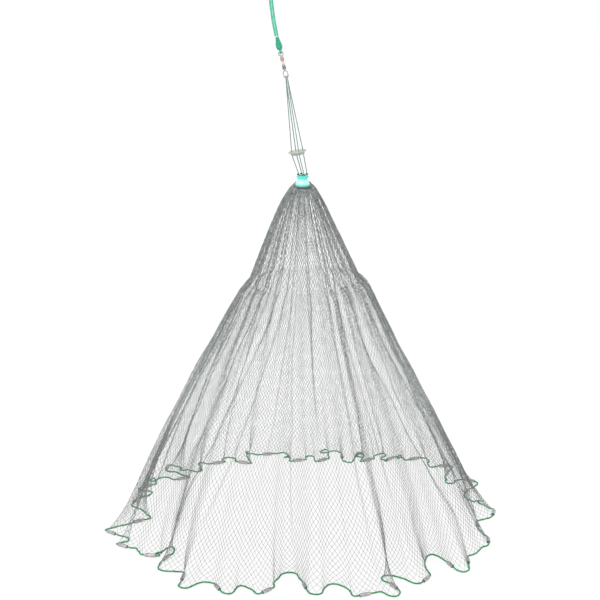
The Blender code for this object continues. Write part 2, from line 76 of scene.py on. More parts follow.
def toMesh(name, bm):
    mesh = bpy.data.meshes.new(name)
    bm.to_mesh(mesh)
    bm.free()
    return mesh


def withModifiers(piece):  # a new mesh with the piece's modifiers worked in
    return bpy.data.meshes.new_from_object(piece.evaluated_get(bpy.context.evaluated_depsgraph_get()))


# camera, a little above the net and level across
cameraSetup = {
    "lens": 93.15,
    "sensor": 36.0,
    "distance": 4.5,
    "elevation": 14.0,
    "aim": (-0.0073, 0.0, 0.671),
}


def makeCamera():
    data = bpy.data.cameras.new("camera")
    data.lens = cameraSetup["lens"]
    data.sensor_width = cameraSetup["sensor"]
    camera = addObject("camera", data)
    tilt = math.radians(cameraSetup["elevation"])
    look = Vector((0.0, math.cos(tilt), -math.sin(tilt)))
    camera.location = place(*cameraSetup["aim"]) - look * cameraSetup["distance"]
    camera.rotation_euler = (math.pi / 2 - tilt, 0.0, 0.0)
    bpy.context.scene.camera = camera


makeCamera()


# smooth lines

def hermite(start, startPull, end, endPull, t):
    return (
        start * (2 * t**3 - 3 * t**2 + 1)
        + startPull * (t**3 - 2 * t**2 + t)
        + end * (3 * t**2 - 2 * t**3)
        + endPull * (t**3 - t**2)
    )


def smoothRoute(points, steps):
    ends = [2 * points[0] - points[1]] + points + [2 * points[-1] - points[-2]]
    route = []
    for before, start, end, after in zip(ends, ends[1:], ends[2:], ends[3:]):
        for step in range(steps):
            route.append(hermite(start, (end - before) / 2, end, (after - start) / 2, step / steps))
    return route + [points[-1]]


def routeLength(points):
    return sum((b - a).length for a, b in zip(points, points[1:]))


def halfTurn(steps=12):
    return [math.pi * step / steps for step in range(steps + 1)]


def evenSteps(points, step):  # the same line, with points this far apart
    total = routeLength(points)
    count = max(2, round(total / step))
    gap = total / count
    result = [points[0].copy()]
    along = 0.0
    for a, b in zip(points, points[1:]):
        run = (b - a).length
        while len(result) < count and gap * len(result) <= along + run:
            result.append(a.lerp(b, (gap * len(result) - along) / run))
        along += run
    return result[:count] + [points[-1].copy()]


def smoothstep(low, high, value):
    t = min(1.0, max(0.0, (value - low) / (high - low)))
    return t * t * (3 - 2 * t)


# meshes
mergeGaps = {"swept": 0.000002, "turned": 0.00001, "netting": 0.00001}


def finishPiece(name, bm, material, body, nodes=()):
    mesh = toMesh(name, bm)
    mesh.shade_smooth()
    mesh.materials.append(material)
    piece = addObject(name, mesh)
    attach(piece, body)
    if nodes:
        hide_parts(*nodes)
    return piece


def lineFrames(points, closed, upHint=None):
    frames = []
    count = len(points)
    side = None
    for i in range(count):
        after = points[(i + 1) % count] if closed or i < count - 1 else points[i]
        before = points[i - 1] if closed or i > 0 else points[i]
        along = (after - before).normalized()
        if upHint is not None:
            side = along.cross(upHint).normalized()
        elif side is None:
            side = along.orthogonal().normalized()
        else:
            side = (side - along * side.dot(along)).normalized()
        frames.append((side, side.cross(along).normalized()))
    return frames


def sweepInto(bm, points, around, radiusAt, closed=False, upHint=None, uvScale=10.0):
    uvLayer = bm.loops.layers.uv.verify()
    frames = lineFrames(points, closed, upHint)
    rings = len(points) if closed else len(points) - 1
    firstEdge = len(bm.edges)
    made = bmesh.ops.create_grid(bm, x_segments=rings, y_segments=around, size=0.5, calc_uvs=True)
    verts = made["verts"]
    total = routeLength(points)
    for face in {face for vert in verts for face in vert.link_faces}:
        for loop in face.loops:
            loop[uvLayer].uv.x *= total * uvScale
    for vert in verts:
        ring = round((vert.co.x + 0.5) * rings)
        turn = 2 * math.pi * round((vert.co.y + 0.5) * around) / around
        centre = points[ring % len(points)]
        side, rise = frames[ring % len(points)]
        radius = radiusAt(ring, turn)
        vert.co = centre + (side * math.cos(turn) + rise * math.sin(turn)) * radius
    bmesh.ops.remove_doubles(bm, verts=verts, dist=mergeGaps["swept"])
    if not closed:
        rims = [edge for edge in list(bm.edges)[firstEdge:] if edge.is_boundary]
        bmesh.ops.holes_fill(bm, edges=rims, sides=0)


def ropeRadius(radius, pitch, step, depth, strands=3):
    centre = radius / (1 + math.sin(math.pi / strands))
    strand = radius - centre

    def radiusAt(ring, turn):
        angle = (turn - 2 * math.pi * ring * step / pitch) % (2 * math.pi / strands)
        angle -= math.pi / strands
        inside = max(strand**2 - (centre * math.sin(angle)) ** 2, (0.25 * strand) ** 2)
        lobed = centre * math.cos(angle) + math.sqrt(inside)
        return radius + (lobed - radius) * depth

    return radiusAt


def twistedRope(name, points, cord, material, body, nodes=(), closed=False, upHint=None):
    bm = bmesh.new()
    step = cord["pitch"] / cord["ringsPerTurn"]
    line = evenSteps(points, step)
    if closed:
        line = line[:-1]
    step = routeLength(line) / (len(line) - 1)
    pitch = cord["pitch"]
    if closed:  # whole turns, so that the lay meets itself
        whole = step * len(line)
        pitch = whole / (3 * round(whole / pitch / 3))
    radiusAt = ropeRadius(cord["diameter"] / 2, pitch, step, cord["depth"])
    sweepInto(bm, line, cord["around"], radiusAt, closed, upHint)
    bmesh.ops.recalc_face_normals(bm, faces=bm.faces)
    return finishPiece(name, bm, material, body, nodes)


def spinInto(bm, profile, steps, matrix):
    firstVert, firstFace = len(bm.verts), len(bm.faces)
    spots = [bm.verts.new((radius, 0.0, height)) for radius, height in profile]
    edges = [bm.edges.new(pair) for pair in zip(spots, spots[1:])]
    bmesh.ops.spin(
        bm, geom=spots + edges, cent=(0, 0, 0), axis=(0, 0, 1), angle=2 * math.pi, steps=steps,
        use_merge=True,
    )
    bmesh.ops.remove_doubles(bm, verts=list(bm.verts)[firstVert:], dist=mergeGaps["turned"])
    verts = list(bm.verts)[firstVert:]
    bmesh.ops.recalc_face_normals(bm, faces=list(bm.faces)[firstFace:])
    bmesh.ops.transform(bm, matrix=matrix, verts=verts)
    return verts


# shared effects

def addNode(tree, kind, values=None, links=None):
    node = tree.nodes.new(kind)
    for key, value in (values or {}).items():
        if isinstance(key, str) and hasattr(node, key):
            setattr(node, key, value)
        else:
            node.inputs[key].default_value = value
    for key, source in (links or {}).items():
        tree.links.new(source, node.inputs[key])
    return node


def mixColours(tree, first, second, share=None):  # multiplies the two where no share is given
    values = {"data_type": "RGBA", "blend_type": "MULTIPLY" if share is None else "MIX", 0: 1.0}
    links = {6: first, 7: second}
    if share is not None:
        links[0] = share
    return addNode(tree, "ShaderNodeMix", values, links).outputs[2]


def makeGroup(name, colours, numbers):
    group = bpy.data.node_groups.new(name, "ShaderNodeTree")
    inputs = [("vector", "Vector")]
    inputs += [(label, "Color") for label in colours] + [(label, "Float") for label in numbers]
    for label, kind in inputs:
        group.interface.new_socket(name=label, in_out="INPUT", socket_type="NodeSocket" + kind)
    for label, kind in (("colour", "Color"), ("mask", "Float"), ("height", "Float")):
        group.interface.new_socket(name=label, in_out="OUTPUT", socket_type="NodeSocket" + kind)
    return group, group.nodes.new("NodeGroupInput").outputs, group.nodes.new("NodeGroupOutput").inputs


def endGroup(group, end, source, span, colours, fine):  # the source picks between the colours
    limits = dict(zip(("From Min", "From Max"), span))
    mask = addNode(group, "ShaderNodeMapRange", limits, {"Value": source}).outputs[0]
    results = {"colour": mixColours(group, *colours, mask), "mask": mask, "height": fine}
    for label, result in results.items():
        group.links.new(result, end[label])
    return group


def makeFibreGroup():  # fine fibres that run along a rope or twine
    group, start, end = makeGroup("fibres", ("light", "dark"), ("along", "across", "patches"))
    scales = addNode(group, "ShaderNodeCombineXYZ",
                     links={0: start["along"], 1: start["across"], 2: start["across"]})
    stretch = addNode(group, "ShaderNodeVectorMath", {"operation": "MULTIPLY"},
                      {0: start["vector"], 1: scales.outputs[0]})
    fine = addNode(group, "ShaderNodeTexNoise", {"Scale": 1.0, "Detail": 3.0, "Roughness": 0.6},
                   {"Vector": stretch.outputs[0]}).outputs["Fac"]
    broad = addNode(group, "ShaderNodeTexNoise", {"Detail": 2.0},
                    {"Vector": start["vector"], "Scale": start["patches"]}).outputs["Fac"]
    both = addNode(group, "ShaderNodeMath", {"operation": "MULTIPLY"}, {0: fine, 1: broad}).outputs[0]
    return endGroup(group, end, both, (0.14, 0.40), (start["dark"], start["light"]), fine)


def makeWearGroup():  # soft blotches and fine scratches for lead, metal and plastic
    group, start, end = makeGroup("wear", ("clean", "worn"), ("blotches", "scratches", "cover"))
    broad = addNode(group, "ShaderNodeTexNoise", {"Detail": 4.0, "Roughness": 0.6},
                    {"Vector": start["vector"], "Scale": start["blotches"]}).outputs["Fac"]
    fine = addNode(group, "ShaderNodeTexNoise", {"Detail": 2.0},
                   {"Vector": start["vector"], "Scale": start["scratches"]}).outputs["Fac"]
    total = addNode(group, "ShaderNodeMath", {"operation": "ADD"}, {0: broad, 1: start["cover"]}).outputs[0]
    return endGroup(group, end, total, (0.75, 1.25), (start["clean"], start["worn"]), fine)


# on the collar these height tints are painted highlight and painted shade
def addBands(tree, coords, colour, look):  # tints that change with height above the floor
    parts = addNode(tree, "ShaderNodeSeparateXYZ", links={0: coords["Object"]})
    low, high = (floorLevel + height for height in look["bandSpan"])
    height = addNode(tree, "ShaderNodeMapRange", {"From Min": low, "From Max": high},
                     {"Value": parts.outputs[2]})
    bands = addNode(tree, "ShaderNodeValToRGB", links={0: height.outputs[0]})
    while len(bands.color_ramp.elements) < len(look["bands"]):
        bands.color_ramp.elements.new(0.5)
    for stop, (where, tint) in zip(bands.color_ramp.elements, look["bands"]):
        stop.position = where
        stop.color = (*tint, 1.0)
    return mixColours(tree, colour, bands.outputs[0])


def makeMaterial(name, group, look, space):  # each input of the group is named as its entry in the look
    material = bpy.data.materials.new(name)
    material.use_nodes = True
    tree = material.node_tree
    shader = tree.nodes["Principled BSDF"]
    for key, value in look["shader"].items():
        shader.inputs[key].default_value = value
    coords = tree.nodes.new("ShaderNodeTexCoord").outputs
    effect = addNode(tree, "ShaderNodeGroup", {"node_tree": group}, {"vector": coords[space]})
    for socket in list(effect.inputs)[1:]:
        value = look[socket.name]
        socket.default_value = (*value, 1.0) if isinstance(value, tuple) else value
    colour = effect.outputs["colour"]
    if "bands" in look:
        colour = addBands(tree, coords, colour, look)
    tree.links.new(colour, shader.inputs["Base Color"])
    smooth, rough = look["roughness"]
    roughness = addNode(tree, "ShaderNodeMapRange", {"To Min": smooth, "To Max": rough},
                        {"Value": effect.outputs["mask"]})
    tree.links.new(roughness.outputs[0], shader.inputs["Roughness"])
    if "bump" in look:
        strength, distance = look["bump"]
        bump = addNode(tree, "ShaderNodeBump", {"Strength": strength, "Distance": distance},
                       {"Height": effect.outputs["height"]})
        tree.links.new(bump.outputs[0], shader.inputs["Normal"])
    return material


ropeShared = {"roughness": (0.75, 0.5), "bump": (0.5, 0.0006),
              "shader": {"Metallic": 0.0, "Specular IOR Level": 0.35}}
ropeColumns = ("light", "dark", "along", "across", "patches")
ropeLooks = {
    "hemRope": ((0.07, 0.50, 0.19), (0.012, 0.12, 0.05), 3.0, 12.0, 6.0),
    "hemTwine": ((0.30, 0.72, 0.42), (0.10, 0.45, 0.20), 20.0, 4.0, 9.0),
    "handLine": ((0.26, 0.78, 0.57), (0.05, 0.48, 0.32), 8.0, 12.0, 5.0),
    "handLeg": ((0.19, 0.73, 0.52), (0.04, 0.42, 0.28), 8.0, 12.0, 5.0),
    "handHitch": ((0.09, 0.62, 0.42), (0.02, 0.33, 0.21), 8.0, 12.0, 9.0),
    "brailCord": ((0.36, 0.48, 0.45), (0.15, 0.25, 0.235), 12.0, 8.0, 7.0),
    "brailPale": ((0.36, 0.46, 0.43), (0.14, 0.22, 0.20), 12.0, 8.0, 7.0),
    "collarKnot": ((0.07, 0.30, 0.29), (0.01, 0.09, 0.09), 12.0, 8.0, 9.0),
}
nettingTones = ((0.0, 0.95), (0.12, 0.50), (0.24, 0.60), (0.38, 1.1), (0.50, 1.0), (0.66, 0.90), (0.80, 0.95),
                (0.95, 0.92))
nettingLook = {
    "light": (0.46, 0.49, 0.475), "dark": (0.20, 0.22, 0.212), "along": 140.0, "across": 140.0,
    "patches": 55.0, "bandSpan": (0.0, 1.0), "bands": [(where, (tone,) * 3) for where, tone in nettingTones],
    "roughness": (0.55, 0.38), "shader": {"Metallic": 0.0, "Specular IOR Level": 0.5},
}
wornLooks = {
    "lead": {
        "clean": (0.66, 0.645, 0.66), "worn": (0.27, 0.26, 0.27), "blotches": 130.0, "scratches": 900.0,
        "cover": 0.5, "roughness": (0.34, 0.62), "bump": (0.35, 0.0003), "shader": {"Metallic": 0.85},
    },
    "collarPlasticAndPaintedHighlight": {
        "clean": (0.95, 1.0, 0.98), "worn": (0.72, 0.88, 0.86), "blotches": 90.0, "scratches": 1200.0,
        "cover": 0.4, "roughness": (0.18, 0.34), "bump": (0.08, 0.0003), "bandSpan": (1.000, 1.036),
        # these bands paint light on the collar: a near-white painted highlight round its middle, painted
        # shade on the neck under the flare, and a darker tone towards the top
        "bands": (
            (0.0, (0.05, 0.48, 0.36)), (0.14, (0.07, 0.58, 0.46)), (0.30, (0.30, 0.82, 0.74)),
            (0.50, (0.70, 0.98, 0.95)), (0.68, (0.40, 0.95, 0.86)), (0.82, (0.13, 0.93, 0.76)),
            (1.0, (0.10, 0.62, 0.55)),
        ),
        "shader": {
            "Metallic": 0.0, "Coat Weight": 0.4, "Subsurface Weight": 0.15, "Subsurface Scale": 0.004,
        },
    },
    "discPlastic": {
        "clean": (0.47, 0.52, 0.45), "worn": (0.32, 0.36, 0.30), "blotches": 70.0, "scratches": 900.0,
        "cover": 0.45, "roughness": (0.25, 0.45), "bump": (0.1, 0.0003),
        "shader": {"Metallic": 0.0, "Subsurface Weight": 0.3, "Subsurface Scale": 0.006},
    },
    "swivelMetal": {
        "clean": (0.72, 0.70, 0.68), "worn": (0.30, 0.24, 0.21), "blotches": 160.0, "scratches": 1500.0,
        "cover": 0.5, "roughness": (0.16, 0.42), "bump": (0.1, 0.0003), "shader": {"Metallic": 1.0},
    },
    "barrelMetal": {
        "clean": (0.95, 0.93, 0.92), "worn": (0.55, 0.50, 0.48), "blotches": 160.0, "scratches": 1500.0,
        "cover": 0.4, "roughness": (0.2, 0.45), "bump": (0.1, 0.0003), "bandSpan": (1.336, 1.371),
        "bands": (
            (0.0, (0.36, 0.36, 0.37)), (0.24, (0.30, 0.29, 0.30)), (0.42, (0.85, 0.83, 0.80)),
            (0.60, (0.90, 0.86, 0.83)), (0.72, (0.54, 0.40, 0.37)), (1.0, (0.66, 0.50, 0.46)),
        ),
        "shader": {"Metallic": 0.8},
    },
}

fibreGroup = makeFibreGroup()
wearGroup = makeWearGroup()
ropeMaterials = {}
for label, row in ropeLooks.items():
    ropeMaterials[label] = makeMaterial(label, fibreGroup, dict(zip(ropeColumns, row), **ropeShared), "UV")
wornMaterials = {name: makeMaterial(name, wearGroup, look, "Object") for name, look in wornLooks.items()}
netLine = makeMaterial("nettingLine", fibreGroup, nettingLook, "Object")
print("materials made")


# the hem's folds: where each swings out, where it tucks in, and where its sinkers are threaded
Fold = namedtuple("Fold", "crestDeg crestReach bightDeg bightReach sinkers")
hemFolds = [
    Fold(97, 0.570, 102, 0.552, [0.45]),
    Fold(108, 0.578, 112, 0.492, [0.55]),
    Fold(116, 0.580, 121, 0.530, [0.55]),
    Fold(126, 0.572, 130.5, 0.512, [0.30]),
    Fold(136, 0.612, 140.5, 0.488, [0.05, 0.65]),
    Fold(144, 0.560, 152, 0.540, [0.75]),
    Fold(156, 0.560, 158, 0.512, [0.85]),
    Fold(169, 0.528, 181, 0.460, [0.60]),
    Fold(192, 0.582, 199, 0.530, [0.12]),
    Fold(204, 0.570, 207, 0.532, [0.05]),
    Fold(215, 0.530, 213, 0.437, [0.02, 0.70]),
    Fold(225, 0.555, 231, 0.530, [0.60]),
    Fold(238, 0.605, 242, 0.540, [0.72]),
    Fold(250, 0.586, 252, 0.522, []),
    Fold(258, 0.556, 265, 0.412, [0.07, 0.82]),
    Fold(274, 0.548, 279, 0.495, []),
    Fold(286, 0.586, 290, 0.574, [0.05]),
    Fold(294, 0.615, 298, 0.486, [0.24]),
    Fold(304, 0.575, 321, 0.460, [0.06, 0.82]),
    Fold(318, 0.603, 328, 0.555, [0.33]),
    Fold(338, 0.573, 353, 0.520, [0.09, 0.54, 0.96]),
    Fold(363, 0.580, 377, 0.530, [0.66]),
    Fold(388, 0.615, 394, 0.552, [0.05]),
    Fold(402, 0.640, 405, 0.600, [0.10]),
    Fold(411, 0.650, 415, 0.602, [0.40]),
    Fold(418, 0.612, 421, 0.556, [0.30]),
    Fold(424, 0.618, 427, 0.520, [0.50]),
    Fold(430, 0.590, 432, 0.488, [0.12, 0.75]),
    Fold(439, 0.588, 443, 0.482, [0.59]),
    Fold(447, 0.532, 452, 0.476, [0.38]),
]
hemLine = {
    "turnSteps": 40, "straight": 0.0205, "chord": 0.012, "ease": 0.030, "softSteps": 720, "softWindow": 22,
    "bearings": 90, "shareAhead": 0.0005, "slack": 0.010, "kinks": 130, "ropeStep": 0.0005, "stepsAhead": 4,
    "curlRun": 0.020, "curlRise": 0.0062, "curlBack": 0.7, "curlLift": (0.5, 0.8), "curlDrop": (0.93, 1.0),
}
# loops that the slack rope lies in: how far round, how wide, which side, and whether it crosses itself
Curl = namedtuple("Curl", "share radius side crossed")
curls = [
    Curl(0.020, 0.0100, 1, True),
    Curl(0.101, 0.0090, -1, False),
    Curl(0.156, 0.0100, 1, True),
    Curl(0.300, 0.0080, -1, True),
    Curl(0.728, 0.0110, 1, True),
    Curl(0.774, 0.0120, -1, False),
    Curl(0.838, 0.0100, -1, True),
    Curl(0.852, 0.0075, 1, False),
    Curl(0.903, 0.0130, -1, True),
    Curl(0.941, 0.0150, 1, True),
    Curl(0.990, 0.0095, -1, True),
]
sinkerSize = {"length": 0.032, "diameter": 0.011, "bore": 0.0068, "around": 20, "rim": 0.0008,
              "dentScale": 130, "dentStep": 3.1, "dentDepth": 0.09}
hemCord = {"diameter": 0.005, "pitch": 0.018, "ringsPerTurn": 9, "around": 12, "depth": 0.75}


def polar(degrees, reach):
    angle = math.radians(degrees)
    return Vector((reach * math.cos(angle), reach * math.sin(angle)))


def denseHem():
    turns = []
    for fold in hemFolds:
        turns.append((polar(fold.crestDeg, fold.crestReach), polar(fold.crestDeg + 90, 1)))
        turns.append((polar(fold.bightDeg, fold.bightReach), polar(fold.bightDeg + 90, 1)))
    steps = []
    for (start, startWay), (end, endWay) in zip(turns, turns[1:] + turns[:1]):
        pull = (end - start).length
        for step in range(hemLine["turnSteps"]):
            t = step / hemLine["turnSteps"]
            steps.append(hermite(start, startWay * pull, end, endWay * pull, t))
    return steps


class Hem:  # the folded outline, read by distance along it
    def __init__(self):
        self.steps = denseHem()
        self.marks = [0.0]
        for start, end in zip(self.steps, self.steps[1:] + self.steps[:1]):
            self.marks.append(self.marks[-1] + (end - start).length)
        self.length = self.marks[-1]
        crests = self.marks[:: 2 * hemLine["turnSteps"]]
        self.sinkers = []
        for fold, start, end in zip(hemFolds, crests, crests[1:]):
            self.sinkers += [start + (end - start) * share for share in fold.sinkers]
        self.meanReach = sum(step.length for step in self.steps) / len(self.steps)
        count = hemLine["softSteps"]
        spots = [self.at(index / count) for index in range(count)]
        window = range(-hemLine["softWindow"], hemLine["softWindow"] + 1)
        self.soft = []
        for index in range(count):
            near = [spots[(index + offset) % count] for offset in window]
            self.soft.append(sum(near, Vector((0.0, 0.0))) / len(near))

    def softAt(self, share):  # the same outline with its folds smoothed away
        count = len(self.soft)
        mark = share % 1.0 * count
        low = int(mark)
        return self.soft[low % count].lerp(self.soft[(low + 1) % count], mark - low)

    def at(self, share):
        goal = (share % 1.0) * self.length
        low, high = 0, len(self.steps)
        while high - low > 1:
            middle = (low + high) // 2
            if self.marks[middle] <= goal:
                low = middle
            else:
                high = middle
        part = (goal - self.marks[low]) / (self.marks[low + 1] - self.marks[low])
        return self.steps[low].lerp(self.steps[(low + 1) % len(self.steps)], part)

    def startBearing(self):  # where an even ring has to start for its columns to stand over the hem's
        gaps = []
        count = hemLine["bearings"]
        for index in range(count):
            spot = self.at(index / count)
            bearing = math.degrees(math.atan2(spot.y, spot.x)) - 360 * index / count
            gaps.append((bearing - hemFolds[0].crestDeg + 180) % 360 - 180)
        return hemFolds[0].crestDeg + sum(gaps) / count

    def nearestSinker(self, distance):  # signed distance past the nearest sinker, and that sinker
        best = None
        for middle in self.sinkers:
            beyond = (distance - middle + self.length / 2) % self.length - self.length / 2
            if best is None or abs(beyond) < abs(best[0]):
                best = (beyond, middle)
        return best


hem = Hem()
hemStart = hem.startBearing()


def threaded(middle):  # middle and direction of the straight stretch inside a sinker
    start = hem.at((middle - hemLine["chord"]) / hem.length)
    end = hem.at((middle + hemLine["chord"]) / hem.length)
    return (start + end) / 2, (end - start).normalized()


def roundNoise(share, count, seed):  # uneven waves that close up round the net
    angle = 2 * math.pi * share
    reach = count / (2 * math.pi)
    return noise.noise(Vector((math.cos(angle) * reach, math.sin(angle) * reach, seed)))


def ropeSpot(share):  # where the rope lies, how high, and how far from the nearest sinker's middle
    beyond, middle = hem.nearestSinker(share % 1.0 * hem.length)
    away = min(1.0, max(0.0, (abs(beyond) - hemLine["straight"]) / hemLine["ease"]))
    ahead = hem.at(share + hemLine["shareAhead"]) - hem.at(share - hemLine["shareAhead"])
    slack = hemLine["slack"] * smoothstep(0.1, 1.0, away) * roundNoise(share, hemLine["kinks"], 9.3)
    flat = hem.at(share) + Vector((ahead.y, -ahead.x)).normalized() * slack
    if away < 1.0:
        centre, way = threaded(middle)
        flat = (centre + way * beyond).lerp(flat, away)
    rest = hemCord["diameter"] / 2
    rise = sinkerSize["diameter"] / 2 - rest
    return flat, rest + rise * (1 - away) ** 2, abs(beyond)


def curlAt(share):  # how far along, across and up the rope strays in a loop
    for curl in curls:
        part = (share - curl.share) * hem.length / hemLine["curlRun"] + 0.5
        if 0 < part < 1:
            angle = 2 * math.pi * part
            way = 1 if curl.crossed else -hemLine["curlBack"]
            lift = smoothstep(*hemLine["curlLift"], part) * (1 - smoothstep(*hemLine["curlDrop"], part))
            return (way * curl.radius * math.sin(angle), curl.side * curl.radius * (1 - math.cos(angle)),
                    lift * hemLine["curlRise"] if curl.crossed else 0.0)
    return 0.0, 0.0, 0.0


def makeHemRope():
    count = round(hem.length / hemLine["ropeStep"])
    ahead = hemLine["stepsAhead"]
    route = []
    for index in range(count):
        flat, height, _ = ropeSpot(index / count)
        along, across, rise = curlAt(index / count)
        way = (hem.at((index + ahead) / count) - hem.at((index - ahead) / count)).normalized()
        flat = flat + way * along + Vector((way.y, -way.x)) * across
        route.append(place(flat.x, flat.y, height + rise))
    route.append(route[0].copy())
    twistedRope("hemRope", route, hemCord, ropeMaterials["hemRope"], "net", ["hem_rope"],
                closed=True, upHint=Vector((0, 0, 1)))


makeHemRope()
print("hem rope made:", round(hem.length, 3), "m")


seizing = {"twine": 0.0011, "turns": 3, "stepsPerTurn": 6, "sides": 3, "spacing": 0.051, "stray": 0.15,
           "clear": 0.023, "curlClear": 0.016, "lookAhead": 0.002, "sink": 0.3, "packing": 0.95,
           "floorGap": 0.0001}


def makeHemSeizings():  # short whippings that tie the netting to the rope
    bm = bmesh.new()
    count = round(hem.length / seizing["spacing"])
    reach = hemCord["diameter"] / 2 + seizing["twine"] * seizing["sink"]
    for index in range(count):
        share = (index + 0.5 + random.uniform(-seizing["stray"], seizing["stray"])) / count
        flat, height, away = ropeSpot(share)
        curlAway = min(abs(share - curl.share) * hem.length for curl in curls)
        if away < seizing["clear"] or curlAway < seizing["curlClear"]:
            continue
        ahead, aheadHeight, _ = ropeSpot(share + seizing["lookAhead"] / hem.length)
        centre = place(flat.x, flat.y, height)
        along = (place(ahead.x, ahead.y, aheadHeight) - centre).normalized()
        side = along.cross(Vector((0, 0, 1))).normalized()
        rise = side.cross(along)
        points = []
        total = seizing["turns"] * seizing["stepsPerTurn"]
        for step in range(total + 1):
            turn = 2 * math.pi * step / seizing["stepsPerTurn"]
            run = (step / total - 0.5) * seizing["turns"] * seizing["twine"] * seizing["packing"]
            points.append(centre + along * run + (side * math.cos(turn) + rise * math.sin(turn)) * reach)
        sweepInto(bm, points, seizing["sides"], lambda ring, turn: seizing["twine"] / 2)
    bmesh.ops.recalc_face_normals(bm, faces=bm.faces)
    for vert in bm.verts:  # nothing lies lower than the rope
        vert.co.z = max(vert.co.z, floorLevel + seizing["floorGap"])
    finishPiece("hemSeizings", bm, ropeMaterials["hemTwine"], "net")


makeHemSeizings()


def makeSinkers():
    half = sinkerSize["length"] / 2
    outer = sinkerSize["diameter"] / 2
    inner = sinkerSize["bore"] / 2
    profile = [
        (inner, -half + 0.004), (inner, -half + 0.0008), (inner + 0.0006, -half), (outer - 0.0016, -half),
        (outer - 0.0006, -half + 0.0006), (outer - 0.0001, -half + 0.0025), (outer, -half * 0.5),
        (outer, 0.0), (outer, half * 0.5), (outer - 0.0001, half - 0.0025), (outer - 0.0006, half - 0.0006),
        (outer - 0.0016, half), (inner + 0.0006, half), (inner, half - 0.0008), (inner, half - 0.004),
        (inner, 0.0), (inner, -half + 0.004),
    ]
    for index, middle in enumerate(hem.sinkers):
        centre, way = threaded(middle)
        turned = Vector((*way, 0.0)).to_track_quat("Z", "Y").to_matrix().to_4x4()
        spot = place(centre.x, centre.y, outer)
        bm = bmesh.new()
        verts = spinInto(bm, profile, sinkerSize["around"], Matrix.Identity(4))
        for vert in verts:  # knocks and dents from casting
            shift = Vector((index * sinkerSize["dentStep"], 0, 0))
            dent = noise.noise(vert.co * sinkerSize["dentScale"] + shift)
            if math.hypot(vert.co.x, vert.co.y) > inner + sinkerSize["rim"]:
                vert.co.xy *= 1 - max(0.0, dent) * sinkerSize["dentDepth"]
        bmesh.ops.transform(bm, matrix=Matrix.Translation(spot) @ turned, verts=verts)
        name = f"leadSinker_{index + 1:02d}"
        finishPiece(name, bm, wornMaterials["lead"], "net", [f"sinker_{index + 1:02d}"])


makeSinkers()
print("sinkers made:", len(hem.sinkers))


# how the swivel and the disc lean
swivelLean = {"foot": (-0.045, 0.0, 1.312), "degrees": 13.2}
discLean = {"centre": (-0.0145, 0.0, 1.102), "degrees": 9.0}


def leaning(spot, degrees):
    return Matrix.Translation(place(*spot)) @ Matrix.Rotation(-math.radians(degrees), 4, "Y")


swivelAxes = leaning(swivelLean["foot"], swivelLean["degrees"])
discAxes = leaning(discLean["centre"], discLean["degrees"])


def roundCorners(profile, size, closed=False, steps=3):
    result = []
    for index, corner in enumerate(profile):
        if not closed and index in (0, len(profile) - 1):
            result.append(corner)
            continue
        middle = Vector(corner)
        toBefore = Vector(profile[index - 1]) - middle
        toAfter = Vector(profile[(index + 1) % len(profile)]) - middle
        cut = min(size, toBefore.length * 0.45, toAfter.length * 0.45)
        start, end = middle + toBefore.normalized() * cut, middle + toAfter.normalized() * cut
        for step in range(steps + 1):
            t = step / steps
            spot = start * (1 - t) ** 2 + middle * (2 * t * (1 - t)) + end * t**2
            result.append((spot.x, spot.y))
    return result + [result[0]] if closed else result


collarSize = {"foot": 1.000, "top": 1.036, "neck": 0.0185, "bore": 0.0115, "around": 56, "rounding": 0.0009}


def makeCollar():
    top, foot = collarSize["top"], collarSize["foot"]
    profile = [
        (0.0160, top), (0.0172, top - 0.002), (0.0172, top - 0.006), (0.0150, top - 0.009),
        (0.0150, top - 0.013), (0.0215, foot + 0.012), (0.0215, foot + 0.0065),
        (collarSize["neck"], foot + 0.005), (collarSize["neck"], foot), (0.0160, foot),
        (collarSize["bore"], foot + 0.010), (collarSize["bore"], top),
    ]
    bm = bmesh.new()
    spinInto(bm, roundCorners(profile, collarSize["rounding"], closed=True), collarSize["around"],
             Matrix.Translation(place(0, 0, 0)))
    finishPiece("crownCollar", bm, wornMaterials["collarPlasticAndPaintedHighlight"], "net", ["crown_collar"])


lashing = {"diameter": 0.0021, "pitch": 0.006, "ringsPerTurn": 6, "around": 8, "depth": 0.8, "turns": 4,
           "stepsPerTurn": 36, "sink": 0.70, "layerOut": 0.88, "layerTurns": (1.85, 2.15), "foot": 0.0011,
           "rise": 0.0022}


def makeLashing():
    route = []
    steps = lashing["turns"] * lashing["stepsPerTurn"]
    inner = collarSize["neck"] + lashing["diameter"] * lashing["sink"]
    for step in range(steps + 1):
        turn = step / lashing["stepsPerTurn"]
        layer = smoothstep(*lashing["layerTurns"], turn)
        rise = turn / 2 if turn < 2 else 2 - turn / 2
        reach = inner + lashing["diameter"] * lashing["layerOut"] * layer
        spot = polar(turn * 360, reach)
        route.append(place(spot.x, spot.y, collarSize["foot"] + lashing["foot"] + lashing["rise"] * rise))
    twistedRope("crownLashing", route, lashing, ropeMaterials["collarKnot"], "net",
                ["crown_lashing"])


makeCollar()
makeLashing()

discSize = {"top": 0.0045, "foot": -0.0070, "holeCircle": 0.0165, "hole": 0.0056, "holeSides": 24,
            "drill": 0.03, "around": 64, "rounding": 0.0007, "sharpDegrees": 50}
brail = {"diameter": 0.0032, "pitch": 0.0095, "ringsPerTurn": 8, "around": 9, "depth": 0.6,
         "bearings": (195, 285, 15, 105), "slack": 0.0016, "steps": 6, "knotCircle": 0.0125,
         "knotRadius": 0.0042, "knotFlatness": 0.8, "knotDepth": 0.8, "gap": 0.0004, "wire": 0.0015,
         "apart": 0.0001}
brailKnotCord = {"diameter": 0.0026, "pitch": 0.007, "ringsPerTurn": 8, "around": 9, "depth": 0.7}


